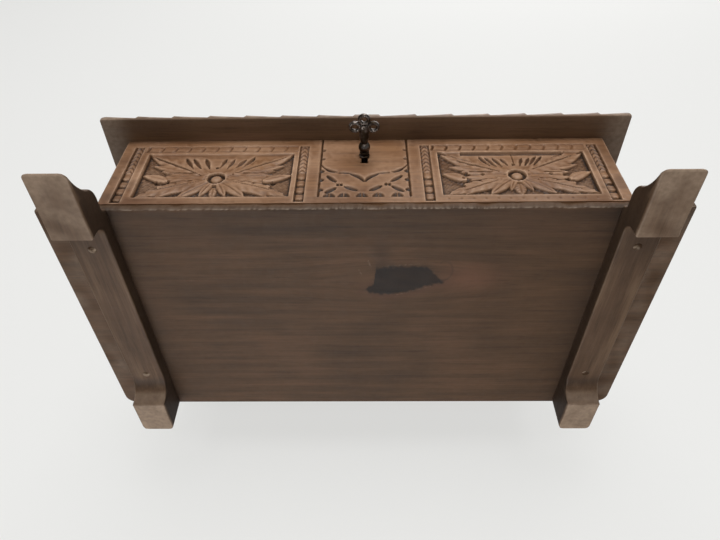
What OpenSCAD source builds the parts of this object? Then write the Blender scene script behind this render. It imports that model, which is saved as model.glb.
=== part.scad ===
// Desk letter box: a low lidded wooden box on a wide board with two arched foot rails.
// X runs along the front, +Y to the rear, +Z up. The origin lies on the table under the
// middle of the whole part. Module coordinates count Y from the front face of the box,
// and set() moves them to the origin.

/* [Board] */
// Length of the board under the box
board_w = 415; // [380:1:440]
// Thickness of the board
board_t = 5.7; // [5:0.1:9]
// Radius of the two rear corners of the board
board_corner = 9; // [3:0.5:14]
// Radius of the two front corners of the board
board_nose = 2; // [0.5:0.5:5]

/* [Foot rails] */
// Distance from the board's end in to the outer face of a rail
rail_inset = 20.7; // [12:0.1:40]
// Width of a rail
rail_w = 25.5; // [20:0.5:28]
// Height of a rail
rail_h = 26.3; // [23:0.1:34]
// Height of the arch under a rail
arch_h = 15.3; // [10:0.1:16]
// How far a rail's toe stands out in front of the box
toe_len = 45.2; // [40:0.1:60]
// Length of the front pad behind the box front
front_pad = 2.7; // [0:0.1:12]
// Length of the rear pad
rear_pad = 34.9; // [20:0.1:50]
// Radius of the pads' corners seen from below
pad_corner = 4; // [1:0.5:6]

/* [Box] */
// Width of the box
box_w = 340; // [320:1:344]
// Depth of the box, front face to rear face
box_d = 208.6; // [180:0.1:240]
// Height of the box walls
box_h = 73; // [72:1:100]
// Thickness of the box walls
wall_t = 8; // [7.5:0.1:10]
// How far the box sits to the right of the board's middle
box_shift = 0.9; // [0:0.1:2]

/* [Lid] */
// Thickness of the lid
lid_t = 11; // [10:0.5:16]
// Overhang of the lid in front of the box
lid_front = 18; // [10:0.5:24]
// Overhang of the lid beside the box
lid_side = 16; // [10:0.5:20]
// Height of the lid's upright edge below the slope
lid_edge = 4.6; // [3.5:0.1:6]
// Width of the sloped margin, seen from above
slope_w = 13; // [9:0.5:16]
// Distance between the notches of the lid's edge
tooth_pitch = 25.5; // [18:0.5:34]
// Depth of the notches
tooth_deep = 2; // [1:0.1:2.4]

/* [Carving] */
// Depth of the sunk fields
field_deep = 2.4; // [1.5:0.1:3]
// Depth of the border channels
border_deep = 1.2; // [0.6:0.1:1.6]
// Width of the upright channels beside a field
border_w = 6.7; // [5:0.1:7.5]
// Height of the channel above a field
top_border = 8.2; // [6:0.1:9]
// Plain strip under the lid
top_strip = 6.6; // [5:0.1:8]
// Plain strip over the board
bottom_strip = 7; // [5:0.1:9]
// Half the width of the middle panel
middle_half = 38.7; // [36:0.1:42]
// Plain strip at each end of the front
end_strip = 7.5; // [5:0.1:10]
// Radius of the round boss in each field
boss_r = 4.3; // [3:0.1:5.5]
// Width of the hollow round a boss
ring_w = 2; // [1:0.1:3]
// Distance from scale to scale in the upright channels
scale_pitch = 7.6; // [6:0.1:9]
// Distance from cushion to cushion in the channel above a field
cushion_pitch = 9.8; // [8:0.1:12]
// Depth of the knife cuts on the middle panel
chip_deep = 1.3; // [0.8:0.1:2]

/* [Hinges] */
// Length of a hinge
hinge_len = 38; // [30:1:50]
// Distance from the middle to the middle of a hinge
hinge_at = 105; // [70:1:130]
// Thickness of a hinge leaf
leaf_t = 1.4; // [1:0.1:1.8]
// How far a leaf reaches over the wall
leaf_reach = 7.2; // [6.5:0.1:7.4]
// Outer radius of a knuckle
knuckle_r = 2.3; // [2:0.1:3]
// Radius of a hinge pin
hinge_pin_r = 1.2; // [0.9:0.05:1.3]

/* [Lock] */
// Height from the key's axis up to the top of the wall
key_drop = 21.3; // [21:0.1:26]
// Width of the lock case
case_w = 54; // [52:1:70]
// Thickness of the lock's plates
plate_t = 1.2; // [1:0.1:1.5]
// Clear depth inside the lock case
case_deep = 7.6; // [7.4:0.1:9]
// Travel of the bolt
throw_len = 6; // [5.4:0.1:6.4]
// Radius of the drill pin that the key turns on
drill_pin_r = 1.1; // [0.8:0.05:1.3]

/* [Key] */
// Radius of the key's shank
shank_r = 2.2; // [1.9:0.1:2.4]
// Reach of the bit from the key's axis
bit_r = 7.2; // [7:0.1:7.6]
// Thickness of the bit
bit_t = 1.8; // [1.4:0.1:2.2]
// How far the bow stands out in front of the box
bow_reach = 32.8; // [30:0.1:40]
// Outer radius of each ring of the bow
bow_ring = 4.1; // [3.6:0.1:4.4]
// Radius of the hole in each ring
bow_hole = 2.1; // [1.6:0.1:2.6]
// Thickness of the bow
bow_t = 2.8; // [2:0.1:3.4]

/* [Hidden] */
$fn = 48;

// Clearances: a screw in its hole, a turning pin, a sliding plate, a curved face beside wood
screw_gap = 0.05;
run_gap = 0.05;
slide_gap = 0.2;
round_gap = 0.3;
// A cut runs this far past the face that it opens
past = 1;

// Heights and depths that the pieces share
board_z = rail_h;
floor_z = board_z + board_t;
wall_top = floor_z + box_h;
hinge_y = box_d + round_gap + knuckle_r;
board_d = hinge_y + knuckle_r;
y_mid = (board_d - toe_len) / 2;

// Foot rail profile: a cove, a round and a short fillet rise from the toe to the board
rail_x = board_w / 2 - rail_inset - rail_w / 2;
round_r = 12.9;
fillet_h = 4.3;
cove_r = 41.8;
arch_r = 9;

// Screws: shank radius, head radius, length
screw_skin = 1;
lid_skin = 2.4;
foot_screw = [1.5, 2.8, rail_h - arch_h + board_t - screw_skin];
leaf_screw = [1.1, 2.0, 11];
lid_screw = [1.1, 2.0, lid_t - lid_skin];
plate_screw = [1.1, 2.0, 5.6];
cap_screw = [0.8, 1.5, 5];

// Foot screws stand in the arch, near its two ends
screw_front = 24;
screw_back = 56;
screw_rear = board_d - screw_back;

// Lid
lid_x = box_w / 2 + lid_side;
slope_rise = lid_t - lid_edge;
slope_len = norm([slope_w, slope_rise]);
slope_angle = atan2(slope_rise, slope_w);

// Carved front: each field has a raised frame between itself and its channels
frame_in = 4;
frame_out = 4.4;
frame_top = 1.6;
boss_up = 21.6;
groove_in = 8.8;
groove_w = 1;
channel_foot = 1.5;
channel_land = 1.2;
// Scales: gap round a scale, its thickness as a share of the channel's depth, its tip in degrees
scale_gap = 0.3;
scale_rise = 0.6;
scale_tip = 5;
// Cushions: gap to each side, gap at top and foot, how far the edges fall
cushion_gap = 0.5;
cushion_land = 0.8;
cushion_fall = 0.6;
field_low = floor_z + bottom_strip;
field_top = wall_top - top_strip - top_border - frame_top;
field_in = middle_half + border_w + frame_in;
field_out = box_w / 2 - end_strip - border_w - frame_out;
field_x = (field_in + field_out) / 2;
boss_z = field_low + boss_up;
groove_x = middle_half - groove_in;
// The leaves are drawn for a field of this size, and stretched with it
pattern = [102, 49.6];
// A leaf's underside lies this far under the ground of its field, and each next leaf's a step deeper,
// so that no two undersides fall together
leaf_root = 0.3;
root_step = 0.05;
// Along a leaf: share of its length, of its half width and of its height; the lobed plan swells and narrows
leaf_plan = [[0, 0.45, 0.75], [0.3, 0.92, 1], [0.58, 1, 1], [0.82, 0.62, 0.85]];
lobed_plan = [[0, 0.4, 0.75], [0.2, 0.92, 1], [0.34, 0.66, 1], [0.48, 1, 1], [0.62, 0.66, 0.95], [0.74, 0.84, 0.9],
              [0.88, 0.42, 0.8]];
// Right half of a field, from the boss: [foot, tip, sideways bow, half width, height, lobed]
front_leaves = [
    [[5, 3.4], [49.6, 26.2], -2.8, 7, 2.3, true],
    [[5, -2.6], [50, -20.4], 2, 6.2, 2.3, true],
    [[6, 0.4], [40, -1], 0.6, 4.1, 1.9, false],
    [[33, -4.4], [50, 3.6], 2.2, 3.8, 2.1, false],
    [[4.4, -5], [21.4, -19.8], 1.5, 3.9, 2.1, false],
    [[2.3, -6], [8.3, -17], 0.5, 2.3, 2, false]
];
// Petals that spread upward from the boss: how many, their reach to the side, height, half width
fan = [8, 24, 23.4, 1.9, 1.8];
// Their feet: share of a petal's reach to the side, height over the boss; and their sideways bow
fan_foot = [0.24, 4.6];
fan_bow = -1.5;
// The seat of a boss is wider than its hollow, and lies a little under the face
seat_w = 1;
seat_down = 0.35;
// Knife cuts on the right half of the middle panel, from the middle of the board's top: [start, end, width]
chips = [
    [[27.5, 39], [18.5, 33.4], 2.8], [[17.5, 33], [7.5, 31], 2], [[9.6, 31.4], [0.6, 22.6], 3],
    [[14.1, 17], [14.1, 21.2], 1.9], [[16.5, 17], [16.5, 21.2], 1.9], [[18, 22.4], [25, 29.4], 3.2],
    [[12.2, 17.9], [3.8, 12.6], 3.4], [[18, 16.4], [25.4, 10.8], 3.2],
    [[21.9, 5.4], [21.9, 10.4], 5], [[11.1, 5.4], [11.1, 10.4], 5]
];

// Hinge: the middle knuckle is on the lid's leaf
knuckle_gap = 0.2;
mid_knuckle = hinge_len / 3;
leaf_screw_x = hinge_len * 0.34;
leaf_screw_y = box_d - leaf_reach / 2 - 0.1;

// Lock
key_z = wall_top - key_drop;
plate_y = wall_t;
case_y = plate_y + plate_t;
cap_y = case_y + case_deep;
case_low = key_z - bit_r - 6.6;
selvedge_t = 1.6;
selvedge_in = 3;
case_top = wall_top - selvedge_t;
flange_w = 6;
flange_screw_low = case_low + 6;
flange_screw_top = case_top - 6;
boss_at = [case_w / 2 - 3.6, 2.9];
bolt_rise = 5.4;
bar_h = 3.2;
bolt_h = 12;
tongue_rise = 6.2;
tongue_in = 2.4;
bolt_low = key_z + bolt_rise;
bar_top = bolt_low + bar_h;
bolt_top = bolt_low + bolt_h;
bolt_left = -20;
bolt_bar = 13.5;
bolt_body = 8;
tongue_low = bolt_low + tongue_rise;
tongue_h = 4;
// The bolt is a thin plate that runs in grooves of the case; lip_h is how far they hold its edges
bolt_t = 2.6;
lip_h = 1.2;
tongue_y = case_y + tongue_in;
// The bit meets the bolt while it stands above bolt_low: the notch covers that sweep
bit_enter = asin((bolt_low - key_z) / bit_r);
notch_half = bit_r * cos(bit_enter) + bit_t / 2 - throw_len * (0.5 - bit_enter / 180) + 0.6;
notch_top = key_z + bit_r + 0.5;

// Staple on the lid, whose eye takes the bolt's tongue
staple_x = 15;
staple_t = 2.6;
staple_y = tongue_y - 1.2;
staple_w = bolt_t + 2.4;
staple_low = bar_top + 0.8;
strike_half = 14;
strike_deep = 12;
strike_t = 1.4;
strike_x = staple_x + staple_t / 2;
strike_y = staple_y + staple_w / 2;
strike_screw_x = 10.5;
// The staple swings about the hinge, so its foot moves forward as it rises out of the slot
staple_drop = wall_top - staple_low;
staple_reach = hinge_y - staple_y;
staple_swing = norm([staple_reach, staple_drop]) - staple_reach;

// Key, counted from the front face
collar_y = -0.3;
collar_t = 1.4;
ball_y = -6.2;
ball_r = 3.9;
bit_from = case_y + 0.9;
bit_to = cap_y - 0.9;
lobe_far = bow_reach - bow_ring;
lobe_near = lobe_far - 1.2 * bow_ring;
lobe_x = 1.5 * bow_ring;
neck_y = -13.6;
neck_r = 1.5;

// Moves front-face coordinates to the part's origin
module set() {
    translate([0, -y_mid, 0]) children();
}

// The box and all that it carries sit a little to the right of the board's middle
module on_box() {
    set() translate([box_shift, 0, 0]) children();
}

// Points of an arc from angle a to angle b
function arc(cx, cy, r, a, b, n = 10) =
    [for (i = [0:n]) [cx + r * cos(a + (b - a) * i / n), cy + r * sin(a + (b - a) * i / n)]];

// Countersunk slotted screw along +Z, head face at z = 0, shank upward
module screw(s, grow = 0) {
    head_h = s[1] - s[0];
    difference() {
        union() {
            translate([0, 0, -(grow > 0 ? past : 0)])
                cylinder(r = s[0] + grow, h = s[2] + grow + (grow > 0 ? past : 0), $fn = 24);
            cylinder(r1 = s[1] + grow, r2 = s[0] + grow, h = head_h, $fn = 24);
            if (grow > 0) translate([0, 0, -past]) cylinder(r = s[1] + grow, h = past, $fn = 24);
        }
        if (grow == 0) cube([3 * s[1], 0.6, 0.8], center = true);
    }
}

// Plan of a foot rail: a bar with rounded corners
module rail_plan() {
    for (x = [-1, 1], y = [-toe_len + pad_corner, board_d - pad_corner])
        translate([x * (rail_w / 2 - pad_corner), y]) circle(r = pad_corner);
    translate([-rail_w / 2, -toe_len + pad_corner]) square([rail_w, board_d + toe_len - 2 * pad_corner]);
    translate([-rail_w / 2 + pad_corner, -toe_len]) square([rail_w - 2 * pad_corner, board_d + toe_len]);
}

// Side view of a foot rail, Y across and Z up
module rail_side() {
    step_z = rail_h - fillet_h;
    round_y = -12.4;
    bend = [round_y - round_r * cos(20), step_z - round_r + round_r * sin(20)];
    toe = [-toe_len, 0.8];
    half = norm(bend - toe) / 2;
    lean = atan2(bend[1] - toe[1], bend[0] - toe[0]);
    spread = asin(half / cove_r);
    cove = [(bend[0] + toe[0]) / 2 - sqrt(cove_r * cove_r - half * half) * sin(lean),
            (bend[1] + toe[1]) / 2 + sqrt(cove_r * cove_r - half * half) * cos(lean)];
    polygon(concat(
        [[-toe_len, 0]],
        arc(cove[0], cove[1], cove_r, lean - 90 - spread, lean - 90 + spread),
        arc(round_y, step_z - round_r, round_r, 158, 90),
        arc(-fillet_h - 1, rail_h, fillet_h, 270, 360, 6),
        [[0, rail_h], [board_d, rail_h], [board_d, 0], [board_d - rear_pad, 0]],
        arc(board_d - rear_pad - arch_h, 0, arch_h, 4, 90),
        arc(front_pad + arch_r, arch_h - arch_r, arch_r, 90, 180),
        [[front_pad, 0]]
    ));
}

module foot_rail() {
    difference() {
        intersection() {
            linear_extrude(rail_h) rail_plan();
            rotate([90, 0, 90]) translate([0, 0, -rail_w / 2]) linear_extrude(rail_w) rail_side();
        }
        for (y = [screw_front, screw_rear]) translate([0, y, arch_h]) screw(foot_screw, screw_gap);
    }
}

module left_foot_rail() {
    color("#5a4233") set() translate([-rail_x, 0, 0]) foot_rail();
}

module right_foot_rail() {
    color("#5a4233") set() translate([rail_x, 0, 0]) foot_rail();
}

module foot_screws() {
    color("#7d766c") set()
        for (x = [-rail_x, rail_x], y = [screw_front, screw_rear]) translate([x, y, arch_h]) screw(foot_screw);
}

module base_board() {
    color("#4f3d30") set() difference() {
        translate([0, 0, board_z]) linear_extrude(board_t) {
            for (x = [-1, 1]) {
                translate([x * (board_w / 2 - board_corner), board_d - board_corner]) circle(r = board_corner);
                translate([x * (board_w / 2 - board_nose), board_nose]) circle(r = board_nose);
            }
            translate([-board_w / 2, board_nose]) square([board_w, board_d - board_corner - board_nose]);
            translate([-board_w / 2 + board_nose, 0]) square([board_w - 2 * board_nose, board_nose * 2]);
            translate([-board_w / 2 + board_corner, board_d - 2 * board_corner])
                square([board_w - 2 * board_corner, 2 * board_corner]);
        }
        for (x = [-rail_x, rail_x], y = [screw_front, screw_rear])
            translate([x, y, arch_h]) screw(foot_screw, screw_gap);
    }
}

// One sunk field with its channels, drawn on the right of the middle
module field_cut() {
    translate([field_in, -past, field_low])
        cube([field_out - field_in, field_deep + past, field_top - field_low]);
    for (x = [middle_half, box_w / 2 - end_strip - border_w])
        translate([x, -past, floor_z + channel_foot])
            cube([border_w, border_deep + past, wall_top - top_strip - floor_z - channel_foot]);
    translate([middle_half + border_w + channel_land, -past, wall_top - top_strip - top_border])
        cube([box_w / 2 - end_strip - 2 * border_w - middle_half - 2 * channel_land,
              border_deep + past, top_border]);
}

// Domed boss in a ring-shaped hollow, on a low round seat
module boss() {
    translate([field_x, field_deep + leaf_root, boss_z]) rotate([90, 0, 0]) difference() {
        cylinder(r = boss_r + ring_w + seat_w, h = field_deep + leaf_root - seat_down);
        translate([0, 0, leaf_root]) difference() {
            cylinder(r = boss_r + ring_w, h = 2 * field_deep);
            intersection() {
                cylinder(r = boss_r, h = 4 * field_deep, center = true);
                translate([0, 0, field_deep - 0.1 - 1.7 * boss_r]) sphere(r = 1.7 * boss_r);
            }
        }
    }
}

// One leaf from foot to tip: two rounded halves with a vein between them, all in flat facets
module carved_leaf(foot, tip, bow, half, rise, plan, root) {
    run = tip - foot;
    len = norm(run);
    side = [-run[1], run[0]] / len;
    // Each station has two edges under the ground, two crests and the vein
    across = [[1, -1], [0.5, 1], [0, 0.62], [-0.5, 1], [-1, -1]];
    last = len(plan) - 1;
    function spot(t) = foot + run * t + side * bow * 4 * t * (1 - t);
    points = concat(
        [for (p = plan, a = across)
            let (at = spot(p[0]) + side * half * p[1] * a[0])
            [at[0], a[1] > 0 ? -rise * a[1] * p[2] : root, at[1]]],
        [[tip[0], root, tip[1]]]);
    end = 5 * (last + 1);
    polyhedron(points, concat(
        [[0, 1, 2, 3, 4]],
        [concat([for (i = [0:last]) 5 * i + 4], [end], [for (i = [last:-1:0]) 5 * i])],
        [for (i = [0:last - 1], k = [0:3]) [5 * i + k, 5 * i + 5 + k, 5 * i + 6 + k]],
        [for (i = [0:last - 1], k = [0:3]) [5 * i + k, 5 * i + 6 + k, 5 * i + 1 + k]],
        [for (k = [0:3]) [5 * last + k, end, 5 * last + k + 1]]
    ));
}

// Leaves of one field, drawn from its boss and stretched with the field
module field_leaves() {
    translate([field_x, field_deep, boss_z])
        scale([(field_out - field_in) / pattern[0], 1, (field_top - field_low) / pattern[1]]) {
            for (m = [0, 1]) mirror([m, 0, 0]) for (i = [0:len(front_leaves) - 1])
                let (l = front_leaves[i])
                carved_leaf(l[0], l[1], l[2], l[3], l[4], l[5] ? lobed_plan : leaf_plan, leaf_root + root_step * i);
            for (i = [0:fan[0] - 1])
                let (s = 2 * i / (fan[0] - 1) - 1)
                carved_leaf([fan_foot[0] * fan[1] * s, fan_foot[1]], [fan[1] * s, fan[2] - abs(s)], fan_bow * s, fan[3], fan[4],
                            leaf_plan, leaf_root + root_step * (len(front_leaves) + i));
        }
}

// Scales in an upright channel: tongues with round ends, each tipped so that its lower end stands out
module scales(x) {
    r = border_w / 2 - scale_gap;
    count = floor((wall_top - top_strip - floor_z - channel_foot) / scale_pitch);
    for (i = [0:count - 1])
        translate([x, border_deep, floor_z + channel_foot + r + scale_gap + i * scale_pitch]) rotate([90 + scale_tip, 0, 0])
            translate([0, 0, -leaf_root]) linear_extrude(scale_rise * border_deep + leaf_root) {
                circle(r = r, $fn = 12);
                translate([-r, 0]) square([2 * r, scale_pitch - r - 2 * scale_gap]);
            }
}

// Row of cushions, round across, in the channel above a field
module cushions() {
    from = middle_half + border_w + channel_land;
    to = box_w / 2 - end_strip - border_w - channel_land;
    count = floor((to - from) / cushion_pitch);
    pitch = (to - from) / count;
    half = pitch / 2 - cushion_gap;
    for (i = [0:count - 1])
        translate([from + (i + 0.5) * pitch, border_deep, wall_top - top_strip - top_border + cushion_land])
            linear_extrude(top_border - 2 * cushion_land)
                polygon(concat([[half, leaf_root], [-half, leaf_root]],
                               [for (k = [-3:3]) [k * half / 3, -0.95 * border_deep + pow(k / 3, 2) * cushion_fall]]));
}

// V-shaped knife cut into the face, widest in its middle
module chip(start, end, wide) {
    run = end - start;
    side = [-run[1], run[0]] / norm(run) * wide / 2;
    mid = (start + end) / 2;
    lift = 0.2;
    polyhedron(
        [[start[0], -lift, start[1]], [mid[0] + side[0], -lift, mid[1] + side[1]], [end[0], -lift, end[1]],
         [mid[0] - side[0], -lift, mid[1] - side[1]], [mid[0], chip_deep, mid[1]]],
        [[0, 1, 2, 3], [1, 0, 4], [2, 1, 4], [3, 2, 4], [0, 3, 4]]);
}

module middle_chips() {
    for (m = [0, 1]) mirror([m, 0, 0]) translate([0, 0, floor_z])
        for (c = chips) chip(c[0], c[1], c[2]);
    translate([0, 0, floor_z]) chip([0, 5.4], [0, 10.4], 5);
}

// Keyhole: a round hole over a slot for the bit, which widens by flare on each side
module keyhole(r, slot, flare, from, to) {
    foot = key_z - bit_r - 0.6;
    translate([0, from, key_z]) rotate([-90, 0, 0]) cylinder(r = r, h = to - from);
    translate([0, to, 0]) rotate([90, 0, 0]) linear_extrude(to - from)
        polygon([[-slot / 2, key_z], [slot / 2, key_z], [slot / 2 + flare, foot], [-slot / 2 - flare, foot]]);
}

module front_panel() {
    color("#7a5a41") on_box() difference() {
        union() {
            difference() {
                translate([-box_w / 2, 0, floor_z]) cube([box_w, wall_t, box_h]);
                field_cut();
                mirror([1, 0, 0]) field_cut();
                for (x = [-groove_x, groove_x])
                    translate([x, 0, floor_z]) rotate([0, 0, 45]) cube([groove_w, groove_w, 2 * box_h], center = true);
            }
            for (m = [0, 1]) mirror([m, 0, 0]) {
                boss();
                field_leaves();
                scales(middle_half + border_w / 2);
                scales(box_w / 2 - end_strip - border_w / 2);
                cushions();
            }
        }
        middle_chips();
        keyhole(shank_r + round_gap, bit_t + 0.9, 1.1, -past, wall_t + past);
        translate([-case_w / 2 - flange_w, wall_t - selvedge_in, case_top])
            cube([case_w + 2 * flange_w, selvedge_in + past, selvedge_t + past]);
        at_lock_screws() screw(plate_screw, screw_gap);
    }
}

module back_panel() {
    color("#5f4737") on_box() difference() {
        translate([-box_w / 2, box_d - wall_t, floor_z]) cube([box_w, wall_t, box_h]);
        for (x = [-hinge_at, hinge_at]) {
            translate([x - hinge_len / 2, box_d - leaf_reach, wall_top - leaf_t])
                cube([hinge_len, leaf_reach + past, leaf_t + past]);
            at_leaf_screws(x) mirror([0, 0, 1]) screw(leaf_screw, screw_gap);
        }
    }
}

module side_wall() {
    translate([box_w / 2 - wall_t, wall_t, floor_z]) cube([wall_t, box_d - 2 * wall_t, box_h]);
}

module left_side() {
    color("#6a4e3b") on_box() mirror([1, 0, 0]) side_wall();
}

module right_side() {
    color("#6a4e3b") on_box() side_wall();
}

// Long wedge that cuts one notch into a sloped margin: full depth at x = 0, running out before x = len
module notch(len, run) {
    rotate([slope_angle - 90, 0, 0]) translate([0, 0, -past]) linear_extrude(run + 2 * past)
        polygon([[0, tooth_deep], [0, -past], [len, -past], [len, -0.08 * tooth_deep]]);
}

// Notches along one margin, from its middle to a corner; the slope rises along +Y
module margin_notches(half) {
    first = tooth_pitch * 0.4;
    count = floor((half - slope_w - first) / tooth_pitch);
    for (i = [0:count - 1]) translate([first + i * tooth_pitch, 0, 0]) notch(tooth_pitch, slope_len);
}

// Board with its slope on the front and both ends, the rear edge square
module lid_blank() {
    intersection() {
        translate([-lid_x, 0, wall_top]) rotate([90, 0, 90]) linear_extrude(2 * lid_x)
            polygon([[-lid_front, 0], [box_d, 0], [box_d, lid_t], [slope_w - lid_front, lid_t],
                     [-lid_front, lid_edge]]);
        translate([0, box_d, wall_top]) rotate([90, 0, 0]) linear_extrude(box_d + lid_front)
            polygon([[-lid_x, 0], [lid_x, 0], [lid_x, lid_edge], [lid_x - slope_w, lid_t],
                     [slope_w - lid_x, lid_t], [-lid_x, lid_edge]]);
    }
}

module lid_board() {
    side_len = box_d + lid_front;
    color("#54402f") on_box() difference() {
        lid_blank();
        for (m = [0, 1]) mirror([m, 0, 0]) {
            translate([0, -lid_front, wall_top + lid_edge]) margin_notches(lid_x);
            translate([lid_x, side_len / 2 - lid_front, wall_top + lid_edge]) rotate([0, 0, 90]) {
                margin_notches(side_len / 2);
                mirror([1, 0, 0]) margin_notches(side_len / 2);
            }
        }
        for (x = [-hinge_at, hinge_at]) {
            translate([x - hinge_len / 2, box_d - leaf_reach, wall_top - past])
                cube([hinge_len, leaf_reach + past, leaf_t + past]);
            at_leaf_screws(x) screw(lid_screw, screw_gap);
        }
        translate([strike_x - strike_half, strike_y - strike_deep / 2, wall_top - past])
            cube([2 * strike_half, strike_deep, strike_t + past]);
        at_strike_screws() screw(lid_screw, screw_gap);
    }
}

// Screw places of one hinge, at the meeting face of its two leaves
module at_leaf_screws(x) {
    for (d = [-leaf_screw_x, leaf_screw_x]) translate([x + d, leaf_screw_y, wall_top]) children();
}

// Leaf with its knuckles; knuckles is a list of [from, to] along the pin
module leaf(x, up, knuckles) {
    difference() {
        union() {
            translate([x - hinge_len / 2, box_d - leaf_reach, up ? wall_top : wall_top - leaf_t])
                cube([hinge_len, leaf_reach - 0.2, leaf_t]);
            for (k = knuckles) {
                translate([x + k[0], box_d - 0.2, up ? wall_top : wall_top - leaf_t])
                    cube([k[1] - k[0], hinge_y - box_d + 0.2, leaf_t]);
                translate([x + k[0], hinge_y, wall_top]) rotate([0, 90, 0])
                    cylinder(r = knuckle_r, h = k[1] - k[0]);
            }
        }
        translate([x - hinge_len, hinge_y, wall_top]) rotate([0, 90, 0])
            cylinder(r = hinge_pin_r + run_gap, h = 2 * hinge_len);
        at_leaf_screws(x) mirror([0, 0, up ? 0 : 1]) screw(up ? lid_screw : leaf_screw, screw_gap);
    }
}

module box_leaf(x) {
    color("#3a3431") on_box() leaf(x, false, [
        [-hinge_len / 2, -mid_knuckle / 2 - knuckle_gap], [mid_knuckle / 2 + knuckle_gap, hinge_len / 2]]);
}

module lid_leaf(x) {
    color("#3a3431") on_box() leaf(x, true, [[-mid_knuckle / 2, mid_knuckle / 2]]);
}

module hinge_pin(x) {
    color("#4a4440") on_box() translate([x - hinge_len / 2, hinge_y, wall_top]) rotate([0, 90, 0])
        cylinder(r = hinge_pin_r, h = hinge_len);
}

module left_hinge_box_leaf() {
    box_leaf(-hinge_at);
}

module left_hinge_lid_leaf() {
    lid_leaf(-hinge_at);
}

module left_hinge_pin() {
    hinge_pin(-hinge_at);
}

module right_hinge_box_leaf() {
    box_leaf(hinge_at);
}

module right_hinge_lid_leaf() {
    lid_leaf(hinge_at);
}

module right_hinge_pin() {
    hinge_pin(hinge_at);
}

module hinge_box_screws() {
    color("#4a4440") on_box()
        for (x = [-hinge_at, hinge_at]) at_leaf_screws(x) mirror([0, 0, 1]) screw(leaf_screw);
}

module hinge_lid_screws() {
    color("#4a4440") on_box() for (x = [-hinge_at, hinge_at]) at_leaf_screws(x) screw(lid_screw);
}

// Screws through the lock's flanges into the front panel, pointing forward
module at_lock_screws() {
    for (x = [-1, 1], z = [flange_screw_low, flange_screw_top])
        translate([x * (case_w / 2 + flange_w / 2), case_y, z]) rotate([90, 0, 0]) children();
}

// Screws that hold the cap, pointing forward into the case's bosses
module at_cap_screws() {
    for (x = [-boss_at[0], boss_at[0]], z = [case_low + boss_at[1], case_top - boss_at[1]])
        translate([x, cap_y + plate_t, z]) rotate([90, 0, 0]) children();
}

module lock_case() {
    inner_w = case_w - 2 * plate_t;
    ledge_x = 10.5;
    color("#6d6353") on_box() difference() {
        union() {
            translate([-case_w / 2 - flange_w, plate_y, case_low])
                cube([case_w + 2 * flange_w, plate_t, case_top - case_low]);
            translate([-case_w / 2 - flange_w, plate_y - selvedge_in, case_top])
                cube([case_w + 2 * flange_w, cap_y + plate_t - plate_y + selvedge_in, selvedge_t]);
            difference() {
                translate([-case_w / 2, case_y, case_low]) cube([case_w, case_deep, case_top - case_low]);
                translate([-inner_w / 2, case_y, case_low + plate_t])
                    cube([inner_w, case_deep + past, case_top - case_low - plate_t]);
            }
            // Grooved ledges under the bolt and a grooved rail over it
            translate([-inner_w / 2, case_y, bolt_low - slide_gap - plate_t])
                cube([inner_w / 2 + bolt_left + throw_len, case_deep, slide_gap + plate_t + lip_h]);
            translate([ledge_x, case_y, bolt_low - slide_gap - plate_t])
                cube([inner_w / 2 - ledge_x, case_deep, slide_gap + plate_t + lip_h]);
            translate([-inner_w / 2, case_y, bolt_top - lip_h])
                cube([inner_w / 2 + bolt_body, case_deep, slide_gap + plate_t + lip_h]);
            for (x = [-boss_at[0], boss_at[0]], z = [case_low + boss_at[1], case_top - boss_at[1]])
                translate([x, case_y, z]) rotate([-90, 0, 0]) cylinder(r = 2, h = case_deep);
        }
        keyhole(shank_r + 0.1, bit_t + 0.6, 0, plate_y - past, case_y + 0.5);
        // Room for the bolt between the grooves
        translate([bolt_left - 2 * slide_gap, tongue_y - slide_gap, bolt_low - slide_gap])
            cube([bolt_bar + throw_len + slide_gap - bolt_left + 2 * slide_gap, bolt_t + 2 * slide_gap,
                  bolt_h + 2 * slide_gap]);
        // Slot for the staple, long enough for its swing
        translate([staple_x - 0.4, staple_y - staple_swing - 0.2, case_top - past])
            cube([staple_t + 0.8, staple_w + staple_swing + 0.6, selvedge_t + 2 * past]);
        at_lock_screws() screw(plate_screw, screw_gap);
        at_cap_screws() screw(cap_screw, screw_gap);
    }
}

module lock_cap() {
    color("#6d6353") on_box() difference() {
        translate([-case_w / 2, cap_y, case_low]) cube([case_w, plate_t, case_top - case_low]);
        translate([0, cap_y - past, key_z]) rotate([-90, 0, 0]) cylinder(r = drill_pin_r, h = plate_t + 2 * past);
        at_cap_screws() screw(cap_screw, screw_gap);
    }
}

module drill_pin() {
    color("#4a4440") on_box() translate([0, plate_y + 0.6, key_z]) rotate([-90, 0, 0])
        cylinder(r = drill_pin_r, h = cap_y + plate_t - plate_y - 0.6);
}

module lock_bolt() {
    color("#8a7a52") on_box() difference() {
        translate([0, tongue_y, 0]) union() {
            translate([bolt_left, 0, bolt_low]) cube([bolt_bar - bolt_left, bolt_t, bar_h]);
            translate([bolt_left, 0, bolt_low]) cube([bolt_body - bolt_left, bolt_t, bolt_h]);
            translate([bolt_body - past, 0, tongue_low]) cube([staple_x - 0.6 - bolt_body + past, bolt_t, tongue_h]);
        }
        translate([-throw_len / 2 - notch_half, case_y, bolt_low - past])
            cube([2 * notch_half, case_deep, notch_top - bolt_low + past]);
    }
}

module lock_screws() {
    color("#4a4440") on_box() at_lock_screws() screw(plate_screw);
}

module cap_screws() {
    color("#4a4440") on_box() at_cap_screws() screw(cap_screw);
}

module at_strike_screws() {
    for (d = [-strike_screw_x, strike_screw_x]) translate([strike_x + d, strike_y, wall_top]) children();
}

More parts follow.
